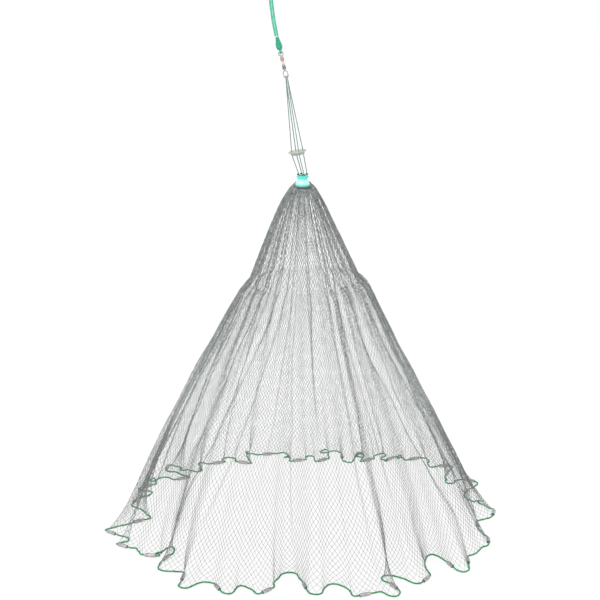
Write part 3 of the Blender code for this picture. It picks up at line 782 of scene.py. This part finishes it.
def makeDisc():
    profile = [
        (0.0000, discSize["top"]), (0.0248, discSize["top"]), (0.0260, discSize["top"] - 0.001),
        (0.0260, 0.0012), (0.0205, 0.0), (0.0198, discSize["foot"] + 0.001), (0.0185, discSize["foot"]),
        (0.0000, discSize["foot"]),
    ]
    bm = bmesh.new()
    spinInto(bm, roundCorners(profile, discSize["rounding"]), discSize["around"], Matrix.Identity(4))
    disc = finishPiece("spreaderDisc", bm, wornMaterials["discPlastic"], "net", ["spreader_disc"])
    drill = bmesh.new()
    for bearing in brail["bearings"]:
        spot = polar(bearing, discSize["holeCircle"])
        bmesh.ops.create_cone(drill, cap_ends=True, segments=discSize["holeSides"],
                              radius1=discSize["hole"] / 2, radius2=discSize["hole"] / 2,
                              depth=discSize["drill"], matrix=Matrix.Translation((spot.x, spot.y, 0.0)))
    cutter = addObject("drill", toMesh("drill", drill))
    holes = disc.modifiers.new("holes", "BOOLEAN")
    holes.operation = "DIFFERENCE"
    holes.object = cutter
    shape = withModifiers(disc)
    disc.modifiers.clear()
    bpy.data.objects.remove(cutter)
    disc.data = shape
    shape.transform(discAxes)
    shape.shade_smooth()
    shape.set_sharp_from_angle(angle=math.radians(discSize["sharpDegrees"]))


def knotPlace(bearing):
    spot = polar(bearing, brail["knotCircle"])
    half = brail["knotRadius"] * brail["knotFlatness"]
    return place(spot.x, spot.y, collarSize["top"] + half + brail["gap"])


def knotRoute(across, deep, tall, steps=72):  # a simple closed knot of this half width, depth and height
    route = []
    for step in range(steps + 1):
        turn = 2 * math.pi * step / steps
        swell = (2 + math.cos(3 * turn)) / 3
        route.append(Vector((across * swell * math.cos(2 * turn), deep * math.sin(3 * turn),
                             tall * swell * math.sin(2 * turn))))
    return route


def makeBrailKnots():
    half = brail["knotRadius"] - brailKnotCord["diameter"] / 2
    low = brail["knotRadius"] * brail["knotFlatness"] - brailKnotCord["diameter"] / 2
    for index, bearing in enumerate(brail["bearings"]):
        turned = Matrix.Translation(knotPlace(bearing)) @ Matrix.Rotation(math.radians(bearing), 4, "Z")
        route = [turned @ spot for spot in knotRoute(half, half * brail["knotDepth"], low)]
        twistedRope(f"brailKnot_{index + 1}", route, brailKnotCord, ropeMaterials["collarKnot"], "net",
                    [f"brail_knot_{index + 1}"], closed=True)


def brailLeg(bearing, start):
    hole = polar(bearing, discSize["holeCircle"])
    above = discAxes @ Vector((hole.x, hole.y, discSize["top"] + 0.001))
    below = discAxes @ Vector((hole.x, hole.y, discSize["foot"] - 0.001))
    end = knotPlace(bearing) + Vector((0, 0, brail["knotRadius"] * brail["knotFlatness"] + 2 * brail["gap"]))
    knee = end + (below - end).normalized() * brail["knotRadius"]
    upper = [start.lerp(above, step / brail["steps"]) for step in range(brail["steps"])]
    return upper + [above, below, below.lerp(knee, 0.5), knee, end]


def makeBrailCords():
    bend = brail["wire"] + brail["slack"] + brail["diameter"] / 2
    for index, (side, front, rear) in enumerate(((-1, 0, 3), (1, 1, 2))):
        across = side * (brail["diameter"] / 2 + brail["gap"] / 2 + brail["apart"])
        over = []
        for angle in halfTurn():
            over.append(swivelAxes @ Vector((across, -bend * math.cos(angle), bend * math.sin(angle))))
        frontLeg = brailLeg(brail["bearings"][front], over[0])
        rearLeg = brailLeg(brail["bearings"][rear], over[-1])
        route = frontLeg[:0:-1] + over + rearLeg[1:]
        material = ropeMaterials[("brailPale", "brailCord")[index]]
        twistedRope(f"brailCord_{index + 1}", route, brail, material, "net",
                    [f"brail_cord_{index + 1}"])


makeDisc()
makeBrailKnots()
makeBrailCords()
print("collar, disc and brail cords made")

swivel = {
    "wire": 0.0015, "lowerHeight": 0.0200, "lowerHalf": 0.0062, "barrelStart": 0.0235, "barrelLength": 0.0360,
    "barrel": 0.0055, "waist": 0.0043, "stem": 0.0018, "head": 0.0030, "upperReach": 0.0062,
    "clearance": 0.0015, "lip": 0.003, "headLength": 0.0025, "gap": 0.0004, "around": 36, "rounding": 0.0011,
    "stemTip": 0.0012, "stemAround": 24, "stemRounding": 0.0005, "wireAround": 14, "eyeSteps": 72,
    "ovalPull": 2.2,
}
barrelTop = swivel["barrelStart"] + swivel["barrelLength"]
upperEyeCentre = barrelTop + swivel["clearance"] + swivel["wire"] + swivel["upperReach"]


def makeSwivelBarrel():
    start, outer, waist = swivel["barrelStart"], swivel["barrel"], swivel["waist"]
    lip, room = swivel["stem"] + swivel["gap"], swivel["head"] + swivel["gap"]
    outside = roundCorners([
        (lip, barrelTop), (outer - 0.0004, barrelTop), (outer, barrelTop - 0.0055),
        (outer - 0.0002, barrelTop - 0.011), (waist, barrelTop - 0.013), (waist, start + 0.013),
        (outer - 0.0002, start + 0.011), (outer, start + 0.0055), (outer - 0.0004, start), (lip, start),
    ], swivel["rounding"])
    inside = [(lip, start + swivel["lip"]), (room, start + swivel["lip"]), (room, barrelTop - swivel["lip"]),
              (lip, barrelTop - swivel["lip"]), (lip, barrelTop)]
    bm = bmesh.new()
    spinInto(bm, outside + inside, swivel["around"], swivelAxes)
    finishPiece("swivelBarrel", bm, wornMaterials["barrelMetal"], "net", ["swivel_barrel"])


def makeSwivelEye(name, node, ring, eyeEnd, barrelEnd, way, body):
    neck = barrelEnd + way * (swivel["lip"] + swivel["gap"])
    head = neck + way * swivel["headLength"]
    profile = [(0.0, eyeEnd - way * swivel["stemTip"]), (swivel["stem"], eyeEnd), (swivel["stem"], neck),
               (swivel["head"], neck), (swivel["head"], head), (0.0, head)]
    bm = bmesh.new()
    spinInto(bm, roundCorners(profile, swivel["stemRounding"]), swivel["stemAround"], swivelAxes)
    sweepInto(bm, [swivelAxes @ spot for spot in ring], swivel["wireAround"],
              lambda index, turn: swivel["wire"], closed=True)
    bmesh.ops.recalc_face_normals(bm, faces=bm.faces)
    finishPiece(name, bm, wornMaterials["swivelMetal"], body, [node])


def makeSwivelEyes():
    half = swivel["lowerHalf"]
    stretch = swivel["lowerHeight"] / 2 - half
    oval, circle = [], []
    for step in range(swivel["eyeSteps"]):
        angle = 2 * math.pi * step / swivel["eyeSteps"]
        shift = stretch * max(-1.0, min(1.0, math.sin(angle) * swivel["ovalPull"]))
        oval.append(Vector((half * math.cos(angle), 0.0, half * math.sin(angle) + shift
                            + swivel["lowerHeight"] / 2)))
        circle.append(Vector((swivel["upperReach"] * math.cos(angle), 0.0,
                              swivel["upperReach"] * math.sin(angle) + upperEyeCentre)))
    makeSwivelEye("swivelLowerEye", "swivel_lower_eye", oval, swivel["lowerHeight"], swivel["barrelStart"], 1,
                  "net")
    makeSwivelEye("swivelUpperEye", "swivel_upper_eye", circle, upperEyeCentre - swivel["upperReach"],
                  barrelTop, -1, "line")


makeSwivelBarrel()
makeSwivelEyes()
print("swivel made")

handCord = {"diameter": 0.006, "pitch": 0.021, "ringsPerTurn": 12, "around": 15, "depth": 0.85}
hitch = {"start": 0.0775, "length": 0.040, "radius": 0.0098, "footRound": 0.0030, "taper": 0.0040,
         "rope": 0.0056, "turns": 7, "core": 0.0074, "coreInset": 0.001, "stepsPerTurn": 30,
         "taperSpan": (0.25, 1.0), "footSpan": (0.0, 0.22)}
handLine = {
    "route": ((-0.0721, 1.4272), (-0.0752, 1.4410), (-0.0782, 1.4560), (-0.0808, 1.4715), (-0.0830, 1.4870),
              (-0.0850, 1.5025), (-0.0869, 1.5180), (-0.0887, 1.5335), (-0.0904, 1.5490)),
    "knotSpot": (-0.0920, 0.0, 1.5640), "knotHalf": 0.0135, "knotRadius": 0.0125, "knotFlatness": 0.8,
    "knotLean": -6.3, "loopFoot": -0.0936, "loopGap": 0.0006, "gap": 0.0004, "bightEnd": 0.0803,
    "bightIn": 0.8,
    "loop": ((0.0042, 0.00), (0.0085, 0.14), (0.0150, 0.32), (0.0195, 0.50), (0.0210, 0.66), (0.0185, 0.82),
             (0.0110, 0.95)),
}


def makeBight():
    wireHeight = upperEyeCentre + swivel["upperReach"]
    bend = swivel["wire"] + handLine["gap"] + handCord["diameter"] / 2
    end = handLine["bightEnd"]
    route = [Vector((0.0, -bend * handLine["bightIn"], end))]
    for angle in halfTurn():
        route.append(Vector((0.0, -bend * math.cos(angle), wireHeight - bend * math.sin(angle))))
    route.append(Vector((0.0, bend * handLine["bightIn"], end)))
    route = smoothRoute([swivelAxes @ spot for spot in route], 4)
    twistedRope("handBight", route, handCord, ropeMaterials["handHitch"], "line", ["hand_bight"])


def makeHitch():  # the rope's end wound round both of its own parts
    wound = dict(handCord, diameter=hitch["rope"])
    bm = bmesh.new()
    coil = []
    top, foot = hitch["length"] - hitch["rope"] / 2, hitch["rope"] / 2
    steps = hitch["turns"] * hitch["stepsPerTurn"]
    for step in range(steps + 1):
        share = step / steps
        reach = hitch["radius"] - hitch["rope"] / 2 - hitch["taper"] * smoothstep(*hitch["taperSpan"], share)
        reach -= hitch["footRound"] * (1 - smoothstep(*hitch["footSpan"], share))
        spot = polar(share * hitch["turns"] * 360, reach)
        coil.append(Vector((spot.x, spot.y, foot + (top - foot) * share)))
    core = [Vector((0, 0, hitch["coreInset"])), Vector((0, 0, hitch["length"] - hitch["coreInset"]))]
    step = wound["pitch"] / wound["ringsPerTurn"]
    for route, diameter in ((coil, hitch["rope"]), (core, hitch["core"])):
        turned = swivelAxes @ Matrix.Translation((0, 0, hitch["start"]))
        line = evenSteps([turned @ spot for spot in route], step)
        radiusAt = ropeRadius(diameter / 2, wound["pitch"], step, wound["depth"])
        sweepInto(bm, line, wound["around"], radiusAt)
    bmesh.ops.recalc_face_normals(bm, faces=bm.faces)
    finishPiece("handHitch", bm, ropeMaterials["handHitch"], "line", ["hand_hitch"])


def makeHandKnot():
    half = handCord["diameter"] / 2
    turned = Matrix.Translation(place(*handLine["knotSpot"])) @ Matrix.Rotation(
        math.radians(handLine["knotLean"]), 4, "Y")
    deep = handLine["knotRadius"] * handLine["knotFlatness"] - half
    route = knotRoute(handLine["knotRadius"] - half, deep, handLine["knotHalf"] - half, steps=120)
    return twistedRope("handKnot", [turned @ spot for spot in route], handCord, ropeMaterials["handLine"],
                       "line", ["hand_knot"], closed=True)


def makeHandLegs():
    middle = smoothRoute([place(across, 0.0, height) for across, height in handLine["route"]], 8)
    offset = handCord["diameter"] / 2 + handLine["gap"] / 2
    for name, node, side in (("handLegLeft", "hand_leg_left", -1), ("handLegRight", "hand_leg_right", 1)):
        route = []
        for index, spot in enumerate(middle):
            way = (middle[min(index + 1, len(middle) - 1)] - middle[max(index - 1, 0)]).normalized()
            route.append(spot + Vector((way.z, 0.0, -way.x)) * side * offset)
        leg = twistedRope(name, route, handCord, ropeMaterials["handLeg"], "line", [node])


def makeHandLoop():
    top = Vector((holdPoint.x, 0.0, holdPoint.z + handCord["diameter"] / 2))
    knotTop = handLine["knotSpot"][2] + handLine["knotHalf"]
    foot = place(handLine["loopFoot"], 0.0, knotTop + handLine["loopGap"])
    up = (top - foot).normalized()
    out = Vector((up.z, 0.0, -up.x))
    height = (top - foot).length
    right = [foot + out * width + up * height * rise for width, rise in handLine["loop"]]
    left = [foot - out * width + up * height * rise for width, rise in handLine["loop"]]
    route = smoothRoute(right + [top] + left[::-1], 8)
    loop = twistedRope("handLoop", route, handCord, ropeMaterials["handLine"], "line",
                       ["hand_loop"])


makeBight()
makeHitch()
handKnot = makeHandKnot()
makeHandLegs()
makeHandLoop()
print("hand line made")


# netting
Section = namedtuple("Section", "height reach")
crownSections = [
    Section(1.004, 0.0240),
    Section(0.994, 0.0375),
    Section(0.970, 0.0545),
    Section(0.930, 0.0740),
    Section(0.848, 0.1115),
    Section(0.744, 0.1580),
]
netting = {
    "bar": 0.0114, "strand": 0.00110, "crownStrand": 0.00150, "knotSize": 0.82, "lacingSize": 0.36,
    "lacingStep": 0.0035, "lacingSides": 5, "skirtColumns": 304, "crownColumns": 152, "sectors": 4,
    "samples": 180, "drop": 0.01, "widest": 0.9, "foot": 0.0045, "sinkerGap": 0.0006,
    "sinkerSpan": (0.016, 0.028), "skirtTop": 0.740, "tierReach": 0.163, "shoulderReach": 0.177,
    "shoulderDrop": 0.036, "tierTilt": 0.014, "tierSpread": 0.11, "tierShift": 0.003,
    "pleatShare": 0.30, "backRise": 0.014, "riseFoot": 0.970, "waver": 0.0035, "waverScale": 9,
    "fine": 0.0012, "crownFine": 0.0010, "fineScale": 60, "creaseNarrow": 0.35, "creaseSpan": (-0.02, 0.22),
    "foldFade": 0.055, "foldKept": 0.26, "bow": (0.150, 0.055), "layCut": 0.31, "freeHeight": 0.12,
    "fineFade": 0.7, "tuckKept": 0.8, "topHeld": 0.03, "crownTuckKept": 0.5, "crownTopHeld": 0.05,
}
# uneven waves round the net: how many, which of them, and how deep
Wave = namedtuple("Wave", "count seed depth")
skirtWave = Wave(90, 1.7, 0.009)
crownWaves = (Wave(90, 1.7, 0.010), Wave(34, 5.2, 0.006))
# creases: share of the way round at the top and at the hem, how hard the meshes bunch there, half width and
# depth of the tuck, and how low it reaches
Crease = namedtuple("Crease", "top hem pull half depth foot")
creases = [
    Crease(0.285, 0.248, 0.75, 0.016, 0.010, 0.00),
    Crease(0.350, 0.290, 0.75, 0.007, 0.008, 0.20),
    Crease(0.395, 0.312, 0.80, 0.007, 0.009, 0.12),
    Crease(0.415, 0.355, 0.80, 0.006, 0.008, 0.06),
    Crease(0.434, 0.405, 0.80, 0.005, 0.008, 0.22),
    Crease(0.443, 0.452, 0.80, 0.005, 0.008, 0.00),
    Crease(0.482, 0.482, 0.85, 0.008, 0.010, 0.30),
    Crease(0.523, 0.520, 0.85, 0.006, 0.010, 0.05),
    Crease(0.553, 0.572, 0.85, 0.006, 0.010, 0.15),
    Crease(0.585, 0.660, 0.80, 0.009, 0.010, 0.04),
    Crease(0.640, 0.690, 0.70, 0.008, 0.008, 0.00),
    Crease(0.690, 0.715, 0.80, 0.014, 0.010, 0.00),
    Crease(0.740, 0.760, 0.75, 0.008, 0.008, 0.00),
    Crease(0.830, 0.820, 0.75, 0.008, 0.008, 0.05),
    Crease(0.870, 0.858, 0.75, 0.006, 0.008, 0.05),
    Crease(0.907, 0.903, 0.80, 0.006, 0.008, 0.00),
    Crease(0.957, 0.957, 0.75, 0.007, 0.008, 0.15),
    Crease(0.992, 0.992, 0.75, 0.005, 0.008, 0.10),
    Crease(0.044, 0.078, 0.80, 0.007, 0.008, 0.00),
    Crease(0.100, 0.120, 0.75, 0.006, 0.008, 0.05),
    Crease(0.165, 0.160, 0.75, 0.010, 0.008, 0.00),
    Crease(0.225, 0.205, 0.75, 0.010, 0.008, 0.00),
]


def gathered(share, height):  # the share that a column is drawn to, and how deep its crease tucks
    fall = min(1.0, max(0.0, (netting["skirtTop"] - height) / netting["skirtTop"]))
    drawn, tuck = share, 0.0
    for crease in creases:
        middle = crease.top + (crease.hem - crease.top) * fall
        off = (share - middle + 0.5) % 1.0 - 0.5
        half = crease.half * (1 - netting["creaseNarrow"] * fall)
        if abs(off) > 3 * half:
            continue
        low, high = netting["creaseSpan"]
        force = smoothstep(crease.foot + low, crease.foot + high, height)
        bell = math.exp(-((off / half) ** 2)) * force
        drawn -= off * crease.pull * bell
        tuck += crease.depth * bell
    return drawn, tuck


def pleatedRing(share, reach):
    pleat = hem.at(share).length / hem.meanReach - 1
    return polar(hemStart + 360 * share, reach * (1 + netting["pleatShare"] * pleat))


def skirtSpot(share, height):
    drawn, tuck = gathered(share, height)
    top = netting["skirtTop"]
    edge, edgeHeight, away = ropeSpot(drawn)
    lift = sinkerSize["diameter"] + netting["sinkerGap"] - netting["foot"]
    foot = netting["foot"] + lift * (1 - smoothstep(*netting["sinkerSpan"], away))
    fall = (top - height) / top
    ring = pleatedRing(drawn, netting["shoulderReach"])
    soft = hem.softAt(drawn)
    kept = netting["foldKept"]
    folded = kept * fall + (1 - kept) * math.exp(-height / netting["foldFade"])
    flat = ring.lerp(soft, fall) + (edge - soft) * min(folded, 1.0)
    left, right = netting["bow"]
    flat *= 1 + (left + (right - left) * (1 + flat.x / flat.length) / 2) * fall**2 * (1 - fall) / flat.length
    shoulder = max(0.0, 1 - (top - height) / netting["shoulderDrop"])
    flat *= 1 - shoulder**2 * (1 - netting["tierReach"] / netting["shoulderReach"])
    free = smoothstep(0.0, netting["freeHeight"], height)
    fine = roundNoise(share, skirtWave.count, skirtWave.seed) * skirtWave.depth
    fine *= free * (1 - netting["fineFade"] * fall)
    flat *= 1 + (fine - tuck * free * netting["tuckKept"]) / flat.length
    spot = place(flat.x, flat.y, max(height, foot))
    sway = noise.noise_vector(spot * netting["waverScale"]) * netting["waver"]
    sway += noise.noise_vector(spot * netting["fineScale"]) * netting["fine"]
    sway *= free * smoothstep(0.0, netting["topHeld"], top - height)
    return spot + sway + tierTilt(spot, height)


def tierTilt(spot, height):  # the tier hangs lower on one side
    flat = (spot.x - netAxis.x) / netting["tierReach"]
    near = math.exp(-(((height - netting["skirtTop"]) / netting["tierSpread"]) ** 2))
    return Vector((netting["tierShift"] * near, 0.0, -netting["tierTilt"] * near * (1 - flat) / 2))


def crownReach(height):
    for upper, lower in zip(crownSections, crownSections[1:]):
        if height >= lower.height:
            t = (upper.height - height) / (upper.height - lower.height)
            return upper.reach + (lower.reach - upper.reach) * t
    return crownSections[-1].reach


def crownSpot(share, height):
    drawn, tuck = gathered(share, netting["skirtTop"])
    ring = pleatedRing(drawn, crownReach(height))
    topEdge = crownSections[0].height
    nearTop = max(0.0, (height - netting["riseFoot"]) / (topEdge - netting["riseFoot"]))
    rise = netting["backRise"] * nearTop * (1 + ring.y / ring.length) / 2
    free = smoothstep(0.0, netting["crownTopHeld"], topEdge - height)
    fine = sum(roundNoise(share, wave.count, wave.seed) * wave.depth for wave in crownWaves)
    ring *= 1 + (fine - tuck * netting["crownTuckKept"]) * free / ring.length
    spot = place(ring.x, ring.y, height + rise)
    sway = noise.noise_vector(spot * netting["fineScale"]) * netting["crownFine"]
    return spot + sway * free + tierTilt(spot, height)


def rowHeights(top, foot, columns, spotAt):  # rows as deep as the bars allow at each girth
    count, drop = netting["samples"], netting["drop"]
    heights = [top]
    while heights[-1] > foot:
        height = heights[-1]
        ring = [spotAt(index / count, height) for index in range(count)]
        below = [spotAt(index / count, height - drop) for index in range(count)]
        girth = sum((a - b).length for a, b in zip(ring, ring[1:] + ring[:1]))
        slant = sum((a - b).length for a, b in zip(ring, below)) / count / drop
        half = min(girth / columns / 2, netting["bar"] * netting["widest"])
        heights.append(height - math.sqrt(netting["bar"] ** 2 - half**2) / slant)
    if len(heights) % 2 == 0:
        heights.append(foot)
    scale = (top - foot) / (top - heights[-1])
    return [top - (top - height) * scale for height in heights]


def makeKnotGroup():  # sets a small eight-sided knot on every point
    group = bpy.data.node_groups.new("knots", "GeometryNodeTree")
    group.interface.new_socket(name="Geometry", in_out="INPUT", socket_type="NodeSocketGeometry")
    group.interface.new_socket(name="Size", in_out="INPUT", socket_type="NodeSocketFloat")
    group.interface.new_socket(name="Geometry", in_out="OUTPUT", socket_type="NodeSocketGeometry")
    start, end = group.nodes.new("NodeGroupInput"), group.nodes.new("NodeGroupOutput")
    ball = addNode(group, "GeometryNodeMeshUVSphere", {"Segments": 4, "Rings": 2},
                   {"Radius": start.outputs["Size"]})
    tied = addNode(group, "GeometryNodeInstanceOnPoints",
                   links={"Points": start.outputs[0], "Instance": ball.outputs[0]})
    real = addNode(group, "GeometryNodeRealizeInstances", links={0: tied.outputs[0]})
    group.links.new(real.outputs[0], end.inputs[0])
    return group


knotGroup = makeKnotGroup()


def makeKnots(spots, size):
    bm = bmesh.new()
    for spot in spots:
        bm.verts.new(spot)
    mesh = toMesh("knots", bm)
    holder = addObject("knots", mesh)
    tying = holder.modifiers.new("knots", "NODES")
    tying.node_group = knotGroup
    tying[knotGroup.interface.items_tree["Size"].identifier] = size
    bpy.context.view_layer.update()
    knots = withModifiers(holder)
    bpy.data.objects.remove(holder)
    bpy.data.meshes.remove(mesh)
    return knots


def makeNetting(name, columns, heights, spotAt, start, end, strand, nodes):
    rows = (len(heights) - 1) // 2
    count = round(columns * (end - start))
    whole = end - start == 1
    tiny = 0.0001
    bm = bmesh.new()
    bmesh.ops.create_grid(bm, x_segments=count, y_segments=rows, size=0.5)
    gridEdges = list(bm.edges)
    bmesh.ops.poke(bm, faces=bm.faces[:])
    bmesh.ops.dissolve_edges(bm, edges=[e for e in gridEdges if not e.is_boundary], use_verts=False)
    sides = [e for e in bm.edges if e.is_boundary and abs(e.verts[0].co.x - e.verts[1].co.x) < tiny]
    rims = [e for e in bm.edges if e.is_boundary and e not in sides]
    bmesh.ops.delete(bm, geom=rims, context="EDGES")
    if not whole:
        bmesh.ops.delete(bm, geom=sides, context="EDGES")
    bm.verts.index_update()
    shares = {}
    for vert in bm.verts:
        share = start + (vert.co.x + 0.5) * (end - start)
        shares[vert.index] = share
        row = (0.5 - vert.co.y) * rows * 2
        vert.co = spotAt(share % 1.0, heights[round(row)])
    if whole:
        bmesh.ops.remove_doubles(bm, verts=bm.verts, dist=mergeGaps["netting"])
        sides = [e for e in bm.edges if len(e.link_faces) == 2 and e in sides]
        bmesh.ops.dissolve_edges(bm, edges=[e for e in sides if e.is_valid], use_verts=False)
    bmesh.ops.recalc_face_normals(bm, faces=bm.faces)
    border = -1.0 if whole else start + tiny  # a shared column is tied once, at the end of a sector
    spots = [vert.co.copy() for vert in bm.verts if vert.link_edges and shares[vert.index] > border]
    bmesh.ops.wireframe(
        bm, faces=bm.faces[:], thickness=strand, offset=0.0, use_replace=True, use_boundary=True,
        use_even_offset=False,
    )
    loose = [v for v in bm.verts if not v.link_faces]
    bmesh.ops.delete(bm, geom=loose, context="VERTS")
    knots = makeKnots(spots, strand * netting["knotSize"])
    bm.from_mesh(knots)
    bpy.data.meshes.remove(knots)
    return finishPiece(name, bm, netLine, "net", nodes)


skirtHeights = rowHeights(netting["skirtTop"], netting["foot"], netting["skirtColumns"], skirtSpot)
crownHeights = rowHeights(crownSections[0].height, crownSections[-1].height, netting["crownColumns"],
                          crownSpot)
print("rows:", len(skirtHeights), len(crownHeights))
netPieces = []
share = 1 / netting["sectors"]
for sector in range(netting["sectors"]):
    netPieces.append(makeNetting(
        f"netSkirt_{sector + 1}", netting["skirtColumns"], skirtHeights, skirtSpot, sector * share,
        (sector + 1) * share, netting["strand"], ["net_skirt"],
    ))
netPieces.append(makeNetting(
    "netCrown", netting["crownColumns"], crownHeights, crownSpot, 0.0, 1.0, netting["crownStrand"],
    ["net_crown"],
))
for piece in netPieces:
    print(piece.name, "faces", len(piece.data.polygons))


def makeStepLacing():  # the twine that laces the skirt's top row to the upper tier's foot
    count = netting["skirtColumns"]
    foot = crownSections[-1].height
    route = []
    for index in range(count + 1):
        share = index / count
        route.append(crownSpot(share, foot) if index % 2 == 0 else skirtSpot(share, netting["skirtTop"]))
    bm = bmesh.new()
    line = evenSteps(route, netting["lacingStep"])[:-1]
    radius = netting["strand"] * netting["lacingSize"]
    sweepInto(bm, line, netting["lacingSides"], lambda ring, turn: radius, closed=True)
    bmesh.ops.recalc_face_normals(bm, faces=bm.faces)
    finishPiece("stepLacing", bm, netLine, "net")


makeStepLacing()


print("netting made")


# a soft white studio
studio = {"floorSize": 30.0, "world": 1.0, "sun": 0.9, "sunAngle": 35.0, "sunTurn": (38, -22, 0),
          "glow": 0.80, "paint": 0.20}


def makeStudio():
    world = bpy.data.worlds.new("studio")
    world.use_nodes = True
    world.node_tree.nodes["Background"].inputs["Color"].default_value = (1.0, 1.0, 1.0, 1.0)
    world.node_tree.nodes["Background"].inputs["Strength"].default_value = studio["world"]
    bpy.context.scene.world = world
    bpy.context.scene.view_settings.view_transform = "Standard"
    bm = bmesh.new()
    bmesh.ops.create_grid(bm, x_segments=1, y_segments=1, size=studio["floorSize"] / 2)
    bmesh.ops.translate(bm, verts=bm.verts, vec=place(0, 0, 0))
    floor = addObject("floor", toMesh("floor", bm))
    material = bpy.data.materials.new("floorPaint")
    material.use_nodes = True
    shader = material.node_tree.nodes["Principled BSDF"]
    shader.inputs["Base Color"].default_value = (studio["paint"],) * 3 + (1.0,)
    shader.inputs["Roughness"].default_value = 1.0
    shader.inputs["Specular IOR Level"].default_value = 0.0
    shader.inputs["Emission Color"].default_value = (1.0, 1.0, 1.0, 1.0)
    shader.inputs["Emission Strength"].default_value = studio["glow"]
    floor.data.materials.append(material)
    sun = bpy.data.lights.new("sun", "SUN")
    sun.energy = studio["sun"]
    sun.angle = math.radians(studio["sunAngle"])
    addObject("sun", sun).rotation_euler = [math.radians(turn) for turn in studio["sunTurn"]]


makeStudio()
print("studio made")
